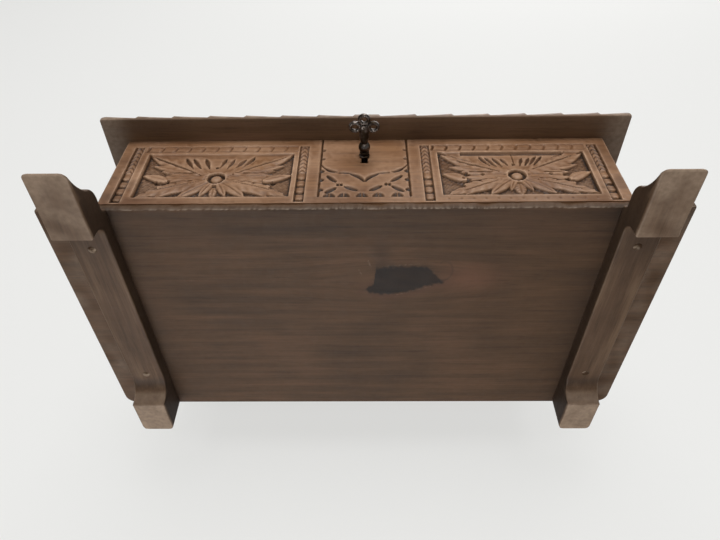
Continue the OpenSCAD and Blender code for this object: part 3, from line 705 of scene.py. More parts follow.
    def field_depth(self, x: Array, z: Array, spot: Field) -> Array:
        """Depth of one field below the face, 0 outside it.

        The wood above the upper leaves and round the boss is left nearly full and only grooved.
        The ground is cut to full depth between the leaf tips and under the lower petals.

        Args:
            x: across the front, from the box's middle.
            z: height.
            spot: the field.

        Returns:
            Depth in millimetres.
        """
        rim = rim_gap(x, z, spot.span_x, spot.span_z)
        sunk = smooth(rim / 0.8) * self.field_deep
        a = x - spot.centre[0]
        b = z - spot.centre[1]
        over = smooth((b - 0.56 * np.abs(a) + 1.0) / 1.5)
        core = smooth((32 - np.abs(a)) / 2.0) * smooth((b + 0.42 * np.abs(a) + 3.0) / 1.5)
        rise = np.maximum((1.85 + 0.12 * waves(a, b, 12, 12.0)) * over, 1.3 * core)
        for leaf in spot.leaves:
            rise = np.maximum(rise, leaf.height(a, b))
        for start, end, wide, deep in spot.grooves:
            rise = rise - deep * gouge(a, b, start, end, wide)
        if spot.stipple:
            band = smooth((b - spot.stipple) / 0.6)
            pricks = 0.5 + 0.5 * np.sin(3.6 * x + 1.5 * np.sin(0.9 * z)) * np.sin(3.9 * z)
            rise = rise - band * (0.9 + 0.6 * pricks) * (np.abs(a) < 35)
        r = np.hypot(a, b)
        rise = np.maximum(rise, 2.3 * smooth((self.ring - r) / 1.4))
        rise = rise - 2.6 * smooth((self.ring_hollow - r) / 0.9)
        rise = np.maximum(rise, self.field_deep * np.sqrt(np.clip(1 - (r / self.boss) ** 2, 0, 1)))
        for ex, ez in spot.eyes:
            rise = rise - 1.7 * drop(a, b, ex, ez, 1.3, 1.3) ** 0.5
        tooled = 0.16 * waves(x, z, 17, 2.6) * smooth(1 - rise / 0.5) * smooth(rim / 1.5)
        depth = np.where(rim > 0, sunk - np.minimum(rise, sunk + 0.05) + tooled, 0.0)
        return np.clip(depth, 0, self.field_deep + 0.9)

    def upright_border(self, x: Array, z: Array, mid: float) -> Array:
        """Depth of one upright channel: long leaves above, round-ended scales below.

        Each scale is a tongue whose end steps down into the next one. The leaves above it are
        chevrons that nest along the channel.
        """
        q = (x - mid) / self.channel_half
        low, high = self.channel_z
        inside = (np.abs(q) < 1) & (z > low) & (z < high)
        share = ((z - low - 1.0) / self.scale_pitch) % 1.0
        tongue = np.clip(1 - np.abs(q) ** 2.6 * 0.9, 0, 1) * smooth((share - 0.16 - 0.26 * q * q) / 0.1)
        scales = tongue * (0.5 + 0.5 * (1 - share))
        wave = ((z - low - 1.0) / self.chevron_pitch + 0.75 * np.abs(q)) % 1.0
        chevrons = (0.35 + 0.5 * smooth(np.abs(wave - 0.5) * 3.2)) * np.clip(1 - q**4, 0, 1)
        upper = smooth((z - self.chevrons_from) / 2.5)
        rise = scales * (1 - upper) + chevrons * upper
        depth = self.border_deep * (1.25 - rise)
        return np.where(inside, depth * smooth((1 - np.abs(q)) * self.channel_half / 0.5), 0.0)

    def top_border(self, x: Array, z: Array, x0: float, x1: float, force: Point) -> Array:
        """Depth of the row of cushions over a field, parted by comma-shaped cuts.

        Args:
            x: across the front, from the box's middle.
            z: height.
            x0: left end of the row.
            x1: right end of the row.
            force: how boldly the cuts are made at the left and at the right end.

        Returns:
            Depth in millimetres.
        """
        pitch = (x1 - x0) / self.cushions
        share = ((x - x0) / pitch) % 1.0
        rim = rim_gap(x, z, (x0, x1), self.cushion_z)
        ends = 0.35 * smooth((93.4 - z) / 2.4) + 0.2 * smooth((z - 96.2) / 1.6)
        pillow = 0.3 * (2 * share - 1) ** 4 + ends
        depth = np.where(rim > 0, smooth(rim / 0.7) * (0.2 + pillow), 0.0)
        for k in range(self.cushions + 1):
            at = x0 + k * pitch
            bold = force[0] + (force[1] - force[0]) * k / self.cushions
            depth = depth + 1.1 * bold * chip(x, z, (at + 1.5, 97.6), (at - 1.0, 91.2), 2.6, 0.9)
        return depth

    def middle_cuts(self, x: Array, z: Array) -> Array:
        """Depth from 0 to 1 of the knife cuts on the middle panel."""
        side = self.panel_half
        cuts = np.zeros(x.shape)
        for m in (-1, 1):
            groove = np.clip(1 - np.abs(x - m * side) / 0.85, 0, 1) * smooth((z - 37.5) / 1.5)
            found = [groove * 0.75]
            for z_bite, force in ((45.8, 1.0), (56.8, 1.0), (66.6, 1.0), (81.4, 0.45), (92.0, 0.45)):
                bite = drop(x, z, m * 28.9, z_bite, 2.3, 2.0) ** 0.5
                found.append(force * bite * (m * x < side))
            apron = (
                (0.8, (side, 75.6), (24.0, 68.2), 1.5, 0.9),
                (1.0, (26.5, 70.2), (18.2, 65.4), 3.4, 0.9),
                (0.7, (17.5, 64.6), (7.0, 63.0), 2.2, -0.6),
                (1.0, (9.5, 63.2), (m * 0.1, 54.2), 4.0, -1.5),
            )
            for force, (x0, z0), (x1, z1), wide, bow in apron:
                found.append(force * chip(x, z, (m * x0, z0), (m * x1, z1), wide, m * bow))
            for cut in found:
                cuts = np.maximum(cuts, cut)
        for cx, cz in ((-16.3, 51.3), (15.3, 51.6)):
            for d in (-1.15, 1.15):
                cuts = np.maximum(cuts, drop(x, z, cx + d, cz, 1.0, 1.7) ** 0.5)
        lenses = (
            ((-18.4, 54.2), (-25.0, 61.6)),
            ((-13.4, 49.6), (-4.2, 44.8)),
            ((-18.4, 48.0), (-25.6, 42.4)),
            ((17.4, 54.6), (25.2, 61.4)),
            ((11.6, 50.2), (3.2, 44.4)),
            ((17.8, 49.6), (25.8, 43.4)),
        )
        for start, end in lenses:
            cuts = np.maximum(cuts, chip(x, z, start, end, 4.2) ** 0.8)
        for cx in (-22.6, -13.2, -1.6, 9.0, 21.2):
            dome = drop(x, z, cx, 38.0, 4.0, 4.6) ** 0.5 * (z > 38.2)
            cuts = np.maximum(cuts, dome * smooth(np.abs(x - cx) / 0.7))
        return cuts

    def keyhole(self, x: Array, z: Array) -> Array:
        """1 inside the keyhole, a round hole over a slot that widens downward, and 0 outside."""
        r = np.hypot(x, z - self.key_up)
        below = self.key_up - z
        half = 1.35 + 1.15 * np.clip(below / self.slot_low, 0, 1)
        slot = (np.abs(x) < half) & (below > 0) & (below < self.slot_low)
        return ((r < self.hole) | slot).astype(float)

    def surface(self, x: Array, z: Array) -> tuple[Array, Array, Array]:
        """Depth below the face, worn places, and darkening with painted shade over the whole front.

        Args:
            x: across the front, from the box's middle, millimetres.
            z: height, millimetres.

        Returns:
            Depth, worn places, and darkening with painted shade.
        """
        depth = np.zeros(x.shape)
        for spot in self.fields:
            depth = np.maximum(depth, self.field_depth(x, z, spot))
        for mid in self.channels:
            depth = np.maximum(depth, self.upright_border(x, z, mid))
        for x0, x1, force in ((-153.6, -46.2, (0.8, 0.5)), (46.6, 154.4, (1.2, 0.35))):
            depth = np.maximum(depth, self.top_border(x, z, x0, x1, force))
        cuts = self.middle_cuts(x, z)
        depth = np.maximum(depth, self.panel_deep * cuts)
        cut_floor = smooth(2.2 * cuts)
        dots = smooth(1 - np.abs(((x - 50) / 7.8) % 1.0 - 0.5) * 6) * drop(x, z, x, 35.6, 1, 1.5)
        depth = np.maximum(depth, 0.35 * dots * (x > 46))
        worn = 0.14 * waves(x, z, 3, 26.0) + 0.06 * waves(x, z, 4, 7.0)
        depth = depth + np.clip(worn, 0, 1)
        local = self.soften(depth, 3)
        rub = np.clip((local - depth) * 0.9 + 0.16 + 0.1 * waves(x, z, 6, 45.0), 0, 1)
        # Painted shade: darker in hollows, on the deeper ground and on the floors of the knife cuts.
        grime = np.clip((depth - local) * 0.75, 0, 1) + np.clip((depth - 1.1) / 4.2, 0, 0.4)
        grime = grime + 0.45 * cut_floor + self.darker_places(x, z)
        hole = self.keyhole(x, z)
        depth = np.where(hole > 0, self.hole_deep, depth)
        # Painted shade: the keyhole is painted black.
        grime = np.maximum(grime, hole)
        return depth, rub, np.clip(grime, 0, 1)

    def darker_places(self, x: Array, z: Array) -> Array:
        """Darker under the keyhole, along the top under the lid, towards the foot and at both ends."""
        under = 0.35 * bell(x, 0, 7) * bell(z, self.key_up - 11, 4)
        lid = 0.3 * smooth((z - 100.5) / 4)
        low = 0.12 * smooth((66 - z) / 30)
        ends = 0.2 * smooth((np.abs(x) - 142) / 22) * (0.7 + 0.8 * waves(x, z, 12, 30.0))
        return under + lid + np.clip(low + ends, 0, 1)

    @staticmethod
    def soften(values: Array, turns: int) -> Array:
        """Averages each value with its neighbours a number of times."""
        out = values.copy()
        for _ in range(turns):
            wide = np.pad(out, 2, mode="edge")
            out = (wide[:-4, 2:-2] + wide[4:, 2:-2] + wide[2:-2, :-4] + wide[2:-2, 4:] + out) / 5
        return out

    def build(self, wood: bpy.types.Material) -> None:
        """Builds the board as a height field over its face, with four plain sides and a back."""
        nx = int((self.high[0] - self.low[0]) / self.step)
        nz = int((self.high[2] - self.low[2]) / self.step)
        xs = np.linspace(self.low[0], self.high[0], nx)
        x, z = np.meshgrid(xs, np.linspace(self.low[2], self.high[2], nz))
        depth, rub, grime = self.surface(x - self.mid, z)
        rim = np.minimum(x - self.low[0], self.high[0] - x)
        depth = depth + 0.5 * np.clip(1 - rim / 0.9, 0, 1) ** 2
        rub = np.maximum(rub, 0.7 * np.clip(1 - rim / 1.6, 0, 1))
        mesh = Mesh("carved_front_board")
        face = mesh.grid(np.stack([x, self.low[1] + depth, z], -1), rub=rub, grime=grime)
        ends = (self.low[0], self.high[0])
        back = [[(end, self.high[1], level) for end in ends] for level in (self.low[2], self.high[2])]
        rear = mesh.grid(np.array(back), flip=True)
        mesh.face([*face[0, :], rear[0, 1], rear[0, 0]], flip=True)
        mesh.face([*face[-1, :], rear[1, 1], rear[1, 0]])
        mesh.face([*face[:, 0], rear[1, 0], rear[0, 0]])
        mesh.face([*face[:, -1], rear[1, 1], rear[0, 1]], flip=True)
        board = mesh.build(Body.BOX, "front_wood", wood)
        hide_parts("front_panel")


@dataclass
class FootRail:
    """A foot rail: its side view is carried across its width, with worn round arrises."""

    node: str
    name: str
    arch: float = 15.36
    arch_round: float = 9.0
    front_pad: float = 2.7
    rear_pad: float = 34.9
    toe: float = 45.2
    toe_height: float = 0.8
    toe_sweep: float = 41.8
    nose: float = 12.9
    nose_at: float = 12.4
    lean: float = 20.0
    cove: float = 4.3
    cove_end: float = -1.0
    arris: float = 1.1
    plan_round: float = 3.6
    rungs: Place = (0.08, 0.5, 0.92)

    def side_view(self) -> tuple[Array, Array, Array]:
        """Places along the rail, from the box's front face, and the upper and lower line there.

        From the toe the upper line sweeps up on a hollow arc, rounds the nose and ends in a cove
        under the board. The lower line has the arch, with a small round in front and a quarter
        circle as high as the arch behind.
        """
        high = self.high[2]
        close = np.array([0, 0.3, 0.8, 1.6, 2.6, 3.8])
        quarter = np.linspace(0, math.pi / 2, 14)
        first = self.front_pad + self.arch_round
        last = self.rear - self.arch
        places = (
            close - self.toe,
            np.linspace(5 - self.toe, -0.6, 46),
            [self.front_pad - 0.1],
            first - self.arch_round * np.cos(quarter),
            np.linspace(first, last, 48),
            last + self.arch * np.sin(quarter),
            [self.rear + 0.1],
            np.linspace(self.rear + 2, self.end - 5, 10),
            self.end - close,
        )
        y = np.unique(np.round(np.concatenate(places), 4))
        top = high - self.cove
        lean = math.radians(self.lean)
        bend = (-self.nose_at - self.nose * math.cos(lean), top - self.nose * (1 - math.sin(lean)))
        run = np.array([bend[0] + self.toe, bend[1] - self.toe_height])
        chord = float(np.hypot(*run))
        off = math.sqrt(self.toe_sweep**2 - chord**2 / 4)
        square = np.array([-run[1], run[0]]) / chord
        mid = (np.array(bend) + np.array([-self.toe, self.toe_height])) / 2 + off * square
        cove_from = self.cove_end - self.cove

        def circle(radius: float, at: float) -> Array:
            """Half height of a circle whose middle is at a place along the rail."""
            return np.sqrt(np.clip(radius**2 - (y - at) ** 2, 0, None))

        upper = np.select(
            [y < bend[0], y < -self.nose_at, y < cove_from, y < self.cove_end],
            [
                mid[1] - circle(self.toe_sweep, mid[0]),
                top - self.nose + circle(self.nose, -self.nose_at),
                top,
                high - circle(self.cove, cove_from),
            ],
            high,
        )
        arch_front = self.arch - self.arch_round + circle(self.arch_round, first)
        lower = np.select(
            [y < self.front_pad - 0.05, y < first, y < last, y < self.rear + 0.05],
            [0.0, arch_front, self.arch, circle(self.arch, last)],
            0.0,
        )
        return y, upper, lower

    def build(self, wood: bpy.types.Material) -> None:
        """Carries the side view across the rail and closes both sides with ladders of quads.

        Near each side the outline shrinks by a quarter circle of the arris radius, or less where
        the toe is thin. The plan's corners are round; pads and arrises are worn paler, the toe's tip also
        gets a painted highlight, and the arch and the inner side get painted shade.
        """
        self.low, self.high = node_box(self.node)
        self.mid = (self.low[0] + self.high[0]) / 2
        self.half = (self.high[0] - self.low[0]) / 2
        self.end = self.high[1] - self.low[1] - self.toe
        self.rear = self.end - self.rear_pad
        y, upper, lower = self.side_view()
        count = len(y)
        rise = upper[-1] * (1 - np.array(self.rungs))
        line_y = np.concatenate([y, np.full(len(rise), y[-1]), y[::-1]])
        line_z = np.concatenate([upper, rise, lower[::-1]])
        room = 0.45 * np.concatenate([upper - lower, rise * 0 + 9, (upper - lower)[::-1]])
        ahead_y = np.roll(line_y, -1) - np.roll(line_y, 1)
        ahead_z = np.roll(line_z, -1) - np.roll(line_z, 1)
        size = np.hypot(ahead_y, ahead_z)
        steps = np.linspace(self.low[0] + self.arris, self.high[0] - self.arris, 9)[1:-1]
        turn = np.radians(np.linspace(0, 90, 5))
        left = self.low[0] + np.append(self.arris * (1 - np.cos(turn)), self.arris + 0.5)
        fall = np.append(self.arris * (1 - np.sin(turn)), 0.0)
        xs = np.concatenate([left, steps, 2 * self.mid - left[::-1]])
        inset = np.concatenate([fall, np.zeros(len(steps)), fall[::-1]])
        inset = np.minimum(inset[:, None], room)
        across = line_y + ahead_z / size * inset
        up = np.clip(line_z - ahead_y / size * inset, 0.0, self.high[2])
        x = self.round_plan(np.repeat(xs[:, None], len(line_y), axis=1), across)
        rub, grime = self.wear_and_painted_light(x, across, up)
        mesh = Mesh(self.name)
        shift = self.low[1] + self.toe
        index = mesh.grid(np.stack([x, across + shift, up], -1), wrap=True, flip=True, rub=rub, grime=grime)
        points = np.concatenate(mesh.points)
        for ring, flip in ((index[0], True), (index[-1], False)):
            high_line, low_line = ring[:count], ring[::-1][:count]
            share = np.array(self.rungs)[None, :, None]
            inner = points[high_line][:, None] * (1 - share) + points[low_line][:, None] * share
            inner = inner[1:-1]
            # Wear, painted highlight and painted shade of the inner points.
            worn = self.wear_and_painted_light(inner[..., 0], inner[..., 1] - shift, inner[..., 2])
            rungs = mesh.grid(inner, flip=flip, rub=worn[0], grime=worn[1])
            rungs = np.vstack([rungs, ring[count : count + len(rise)]])
            mesh.quads(rungs[-2:], flip)
            mesh.quads(np.column_stack([high_line[1:], rungs[:, 0]]), flip)
            mesh.quads(np.column_stack([rungs[:, -1], low_line[1:]]), flip)
            mesh.face([*high_line[:2], *rungs[0], *low_line[1::-1]], not flip)
        rail = mesh.build(Body.BOX, "rail_wood", wood, sharp=32)
        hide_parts(self.node)

    def round_plan(self, x: Array, y: Array) -> Array:
        """Draws the sides in towards both ends, so that the plan has round corners."""
        near = np.minimum(y + self.toe, self.end - y)
        radius = self.plan_round
        cut = radius - np.sqrt(np.clip(radius**2 - np.clip(radius - near, 0, radius) ** 2, 0, None))
        return self.mid + (x - self.mid) * (self.half - cut) / self.half

    def wear_and_painted_light(self, x: Array, y: Array, z: Array) -> tuple[Array, Array]:
        """Worn pads and arrises with a painted highlight at the toe's tip, painted shade in the arch's rear
        end and on the inner side, and a darker front part of the arch.
        """
        half, rear = self.half, self.rear
        outer = np.sign(self.mid) * (x - self.mid)
        side = np.clip(1 - (half - np.abs(outer)) / 1.2, 0, 1)
        far = np.clip(1 - (half - outer) / 0.9, 0, 1)
        pad = np.clip(1 - z / 0.6, 0, 1)
        at_rear = smooth((y - rear + 4) / 6)
        ceiling = ((y > self.front_pad) & (y < rear) & (z < self.arch + 1)).astype(float)
        front = smooth((-y - self.toe + 22) / 18)
        rub = pad * (0.36 + 0.45 * at_rear + 0.3 * front + 0.16 * waves(x, y, 5, 22.0))
        rub = rub + side * (1 - ceiling) * (z < 2) * (0.3 + 0.2 * waves(y, z, 8, 30.0))
        lip = smooth((y - rear + 5) / 2.5) * ceiling * smooth((z - 0.2) / 0.5)
        # Worn and painted highlight: a pale line along the toe's front edge.
        tip = smooth((-y - self.toe + 1.6) / 1.2)
        outside = np.clip(1 - (half - outer) / 0.4, 0, 1) * (0.2 + 0.1 * waves(y, z, 6, 25.0))
        rub = np.clip(rub + 0.7 * far * ceiling + 0.4 * lip + 0.6 * tip + outside, 0, 1)
        # Painted shade in the arch's rear end and on the rail's inner side; the arch ceiling is also darker
        # towards its front.
        cove = np.clip(1 - np.abs(y - rear + 11) / 7, 0, 1) * ((z > 4.0) & (z < self.arch + 0.5))
        inner = np.clip(1 - (half + outer) / 0.4, 0, 1) * smooth((z - 1.2) / 1.5)
        ahead = 0.22 * ceiling * bell(y, 22, 16)
        grime = np.clip(0.5 * cove + 0.62 * inner + ahead, 0, 1)
        return rub, grime


@dataclass
class Slab:
    """A board laid out as two grids, top and underside, on the same lines, joined by an edge band.

    The grid's points outside the plan's round corners are drawn in onto them, and both faces
    fall away to the edge over the arris by a quarter circle.
    """

    low: Array
    high: Array
    corners: tuple[float, float, float, float] = (2.0, 2.0, 2.0, 2.0)
    arris: float = 1.0

    def lines(self, axis: int, step: float, extra: Sequence[float] = ()) -> Array:
        """Grid lines along one axis: even steps, close ones at both ends, and extra places."""
        lo, hi = self.low[axis], self.high[axis]
        near = np.array([0, 0.13, 0.5, 1.0]) * self.arris
        near = np.concatenate([near, self.arris + np.array([0.9, 2.0, 3.4, 5.2, 7.4])])
        even = np.arange(lo + 10, hi - 9, step)
        inner = [v for v in extra if lo < v < hi]
        return np.unique(np.round(np.concatenate([lo + near, hi - near, even, inner]), 4))

    def plan(self, x: Array, y: Array) -> tuple[Array, Array, Array]:
        """Draws points into the rounded outline, and gives their distance from it.

        Args:
            x: first coordinate.
            y: second coordinate.

        Returns:
            Both coordinates and the distance to the nearest edge.
        """
        gap = rim_gap(x, y, (self.low[0], self.high[0]), (self.low[1], self.high[1]))
        x, y = x.copy(), y.copy()
        signs = ((-1, -1), (1, -1), (1, 1), (-1, 1))
        for r, (sx, sy) in zip(self.corners, signs):
            cx = (self.high[0] if sx > 0 else self.low[0]) - sx * r
            cy = (self.high[1] if sy > 0 else self.low[1]) - sy * r
            dx, dy = (x - cx) * sx, (y - cy) * sy
            inside = (dx > 0) & (dy > 0)
            reach = np.maximum(np.maximum(dx, dy), 1e-9)
            long = np.maximum(np.hypot(dx, dy), 1e-9)
            x = np.where(inside, cx + sx * dx * reach / long, x)
            y = np.where(inside, cy + sy * dy * reach / long, y)
            gap = np.where(inside, r - reach, gap)
        return x, y, gap

    def fall(self, gap: Array) -> Array:
        """Drop of a face near the edge: a quarter circle of the arris radius."""
        near = np.clip(self.arris - gap, 0, self.arris)
        return self.arris - np.sqrt(np.clip(self.arris**2 - near**2, 0, None))

    def cap(self, mesh: Mesh, lower: Sequence[int]) -> None:
        """Closes the board above the underside's border: a band, a round arris and a flat top."""
        pts = np.concatenate(mesh.points)[list(lower)]
        ahead = np.roll(pts, -1, axis=0) - np.roll(pts, 1, axis=0)
        out = np.stack([ahead[:, 1], -ahead[:, 0]], -1) / np.hypot(ahead[:, 0], ahead[:, 1])[:, None]
        turn = np.radians(np.linspace(0, 90, 4))
        rings = []
        for inset, drop_ in zip(self.arris * (1 - np.cos(turn)), self.arris * (1 - np.sin(turn))):
            level = np.full(len(pts), self.high[2] - drop_)
            rings.append(np.column_stack([pts[:, :2] - out * inset, level]))
        index = mesh.grid(np.array(rings), wrap=True)
        mesh.join(index[0], lower)
        mesh.face(index[-1])


@dataclass
class BaseBoard:
    """The board under the box, with the knot on its underside and a worn, chipped front arris."""

    knot: Point = (27.0, 64.0)
    knot_size: Point = (28.0, 14.4)
    fine: float = 0.6
    rail_side: float = 161.3
    outside: float = 176.0
    knot_front: tuple[Point, ...] = (
        (1, 73), (3, 69.5), (7, 66.5), (8.4, 52), (20, 49.5), (43, 49.8), (49, 57), (57, 67)
    )
    knot_rear: tuple[Point, ...] = ((1, 73), (5, 77.5), (16, 79.4), (33, 75.4), (46, 69.8), (57, 67))
    scratches: tuple[tuple[Point, Point], ...] = (
        ((10, 50.6), (38, 48.4)),
        ((22, 79.0), (48, 69.6)),
        ((11.5, 53), (20.5, 64)),
        ((20.5, 64), (15, 70)),
        ((3, 44), (5.5, 53)),
        ((-4, 52), (-1, 59)),
    )

    def knot_depth(self, x: Array, y: Array) -> Array:
        """Distance inside the knot's edge, in millimetres, below 0 outside.

        The knot is blunt on the left and pointed on the right. Its edge towards the front and
        its edge towards the rear are lines through a few corners, roughened a little.
        """
        front = np.interp(x, *np.array(self.knot_front).T)
        rear = np.interp(x, *np.array(self.knot_rear).T)
        ends = np.minimum(x - self.knot_front[0][0], self.knot_front[-1][0] - x)
        inside = np.minimum(np.minimum(y - front, rear - y), ends)
        return inside + 0.7 * waves(x, y, 33, 7.0) - 0.6

    def flow(self, x: Array, y: Array, z: Array) -> Array:
        """Grain coordinates in metres: along, across and through the board.

        The fibres part round the knot: their place across the board is drawn towards its middle
        line by an amount that fades with distance, so that the streaks bend round it.
        """
        dx = (x - self.knot[0]) / (self.knot_size[0] * 2.1)
        dy = (y - self.knot[1]) / (self.knot_size[1] * 1.5)
        pull = np.exp(-(dx**2) - dy**2)
        across = y - np.tanh(1.4 * dy) * 15.0 * pull
        return np.stack([x * MM * (1 - 0.5 * pull), across * MM, z * MM], -1)

    def wear_and_painted_light(self, x: Array, side: Array, gap: Array) -> tuple[Array, Array, Array]:
        """Worn places, dark wood, dirt, painted shade and reddish wood on the underside.

        The arris is worn paler, in flecks along the front, and so are the ends outside the rails and
        the scratches round the knot. The knot and its halo are dark wood, the board beside the rails is
        darker with dirt and painted shade, and it grows darker towards the front. The wood is reddish to
        the right of the knot.

        Args:
            x: across the board, from the part's middle.
            side: distance from the front edge.
            gap: distance from the nearest edge.

        Returns:
            Worn places, dark wood with dirt and painted shade, and warm, each from 0 to about 1.
        """
        knot_x, knot_side = self.knot
        arris = bell(gap, 0.45, 0.35)
        front = arris * (side < 4)
        fleck = 0.5 * waves(x, side, 9, 5.0) + 0.4 * waves(x, side, 10, 1.8)
        rub = front * np.clip(0.5 + fleck, 0, 1) + 0.2 * arris * (1 - front)
        broken = np.clip(0.5 + 0.8 * waves(x, side, 35, 3.0), 0, 1)
        for start, end in self.scratches:
            rub = rub + 0.3 * broken * chip(x, side, start, end, 1.2) ** 0.5
        ends = smooth((np.abs(x) - self.outside) / 12)
        rub = rub + 0.16 * ends * (0.8 + 0.6 * waves(x, side, 37, 24.0))
        inside = self.knot_depth(x, side)
        dark = smooth((inside + 1.6 + 0.5 * waves(x, side, 34, 4.6)) / 4.0)
        halo = smooth((inside + 9) / 8) * (1 - dark)
        shade = bell(x, 12, 7) * bell(side, 40, 13)
        # Darker bands beside the rails: dirt and painted shade.
        rails = np.exp(-np.abs(self.rail_side - np.abs(x)) / 8) * (np.abs(x) < self.outside - 2)
        ring = np.hypot((x - 55) / 6.0, (side - 55) / 9.0)
        curl = bell(ring, 1, 0.09) * (x > 52)
        grime = dark * (0.95 + 0.05 * waves(x * 0.3, side, 36, 9.0)) + 0.22 * halo + 0.35 * shade
        # The board also grows darker towards its front edge.
        grime = grime + 0.45 * rails + 0.3 * curl + 0.3 * smooth((44 - side) / 44)
        warm = bell(x, knot_x + 46, 20) * bell(side, knot_side - 2, 13) + 0.5 * halo * (side > knot_side)
        return np.clip(rub, 0, 1), np.clip(grime, 0, 1), warm

    def build(self, wood: bpy.types.Material) -> None:
        """Builds the board and stores its grain, knot, worn places, dirt and painted shade on the points.
        """
        low, high = node_box("base_board")
        slab = Slab(low, high, (2.0, 2.0, 9.0, 9.0), 1.1)
        kx, ky = self.knot[0], low[1] + self.knot[1]
        xs = slab.lines(0, 1.6, np.arange(kx - 58, kx + 62, self.fine))
        ys = slab.lines(1, 5.0, np.arange(ky - 30, ky + 34, self.fine))
        x, y, gap = slab.plan(*np.meshgrid(xs, ys))
        side = y - low[1]
        cut = self.chips(x, side)
        under = np.stack([x, y + cut, low[2] + slab.fall(gap) + 0.5 * cut], -1)
        rub, grime, warm = self.wear_and_painted_light(x, side, gap)
        mesh = Mesh("board_under_box")
        base = mesh.grid(under, flip=True, rub=rub, grime=grime, warm=warm)
        slab.cap(mesh, rim(base))
        board = mesh.build(Body.BOX, "board_wood", wood)
        pts = np.concatenate(mesh.points)
        flow = self.flow(pts[:, 0], pts[:, 1] - low[1], pts[:, 2])
        flow = np.where(pts[:, 2:] > (low[2] + high[2]) / 2, pts * MM, flow)
        layer = board.data.attributes.new("flow", "FLOAT_VECTOR", "POINT")
        layer.data.foreach_set("vector", flow.astype(np.float32).ravel())
        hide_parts("base_board")

    def chips(self, x: Array, side: Array) -> Array:
        """How far the front lower arris is worn back: a wavy loss with a few small chips."""
        bite = 0.32 + 0.24 * waves(x, x * 0, 21, 34.0) + 0.12 * waves(x, x * 0, 22, 7.0)
        for place, wide, deep in ((-118, 5, 0.6), (-62, 4, 0.6), (9, 7, 0.8), (78, 4, 0.6), (131, 6, 0.7)):
            bite = bite + deep * bell(x, place, wide)
        return np.clip(bite, 0, 1.2) * np.clip(1 - side / 2.4, 0, 1)


@dataclass
class NotchedLid:
    """The lid: a flat board whose sloped front and end margins are notched into long teeth."""

    edge: float = 4.6
    slope: float = 13.0
    pitch: float = 25.5
    deep: float = 2.4
    recess_deep: float = 1.42
    left_start: float = 6.9
    right_start: float = 10.2
    overhang_at: float = 162.0

    def notches(self, along: Array) -> Array:
        """Depth of the notches along one margin, counted from its middle.

        Each notch is deepest at its inner end and runs out towards the corner along a gentle
        curve. The first one starts a little nearer to the middle on the low side.
        """
        reach = np.where(along < 0, -along - self.left_start, along - self.right_start)
        share = (reach / self.pitch) % 1.0
        cut = self.deep * (1 - share) ** 0.75 * smooth(share * self.pitch / 0.9)
        return np.where(reach > 0, cut, 0.0)

    def top(self, x: Array, y: Array) -> Array:
        """Height of the upper face over the lid's underside.

        The front and both ends slope down to the upright edge; the lowest of the slopes counts,
        with its notches taken off it.
        """
        thick = self.high[2] - self.low[2]
        rise = (thick - self.edge) / self.slope
        mid_x, mid_y = (self.low[:2] + self.high[:2]) / 2
        end_gap = (self.high[0] - self.low[0]) / 2 - np.abs(x - mid_x)
        ends = self.edge + rise * end_gap - self.notches(y - mid_y)
        front = self.edge + rise * (y - self.low[1]) - self.notches(x - mid_x)
        low = np.minimum(ends, front)
        crest = 0.35 * np.exp(-np.abs(low - thick) / 0.5)
        worn = 0.12 * waves(x, y, 41, 60.0)
        return np.minimum(low, thick) - crest + np.minimum(worn, 0)

    def recess(self, x: Array, y: Array) -> Array:
        """Depth of the recesses in the underside: two hinge leaves and the staple's plate."""
        depth = np.zeros(x.shape)
        for (x0, x1), (y0, y1) in self.seats:
            inside = (x > x0 - 0.05) & (x < x1 + 0.05) & (y > y0 - 0.05) & (y < y1 + 0.05)
            depth = np.where(inside, self.recess_deep, depth)
        return depth

    def build(self, wood: bpy.types.Material) -> None:
        """Builds the lid on grid lines that also follow the recesses."""
        self.low, self.high = node_box("lid_board")
        self.seats = []
        for node in ("left_hinge_lid_leaf", "right_hinge_lid_leaf", "strike_plate"):
            lo, hi = node_box(node)
            rear = hi[1] + 9 if "hinge" in node else hi[1]
            self.seats.append(((lo[0], hi[0]), (lo[1], rear)))
        slab = Slab(self.low, self.high, (1.6, 1.6, 1.0, 1.0), 0.7)
        lines = []
        for axis in (0, 1):
            steep = [v + d for seat in self.seats for v in seat[axis] for d in (-0.06, 0.02)]
            lines.append(slab.lines(axis, 1.5, steep))
        x, y, gap = slab.plan(*np.meshgrid(*lines))
        mesh = Mesh("notched_lid")
        height = self.top(x, y)
        tooth = np.clip(1 - gap / 1.3, 0, 1)
        rub = np.clip(0.6 * tooth * (0.8 + 0.5 * waves(x, y, 44, 9.0)) + 0.1 * waves(x, y, 43, 50.0), 0, 1)
        z = np.minimum(self.low[2] + height, self.high[2])
        top = mesh.grid(np.stack([x, y, z - 0.5 * slab.fall(gap)], -1), rub=rub)
        under = self.low[2] + slab.fall(gap) + self.recess(x, y)
        # Painted light on the underside: a little paler within 16 mm of the edges, and much paler beyond
        # the box's ends, where the lid overhangs.
        beyond = np.abs(x - (self.low[0] + self.high[0]) / 2) - self.overhang_at
        painted_light_under_lid = np.clip(1 - gap / 16, 0, 1) * 0.12 + 0.5 * smooth(beyond / 20)
        base = mesh.grid(np.stack([x, y, under], -1), flip=True, rub=np.clip(painted_light_under_lid, 0, 1))
        mesh.join(rim(top), rim(base))
        lid = mesh.build(Body.LID, "lid_wood", wood, sharp=28)
        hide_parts("lid_board")


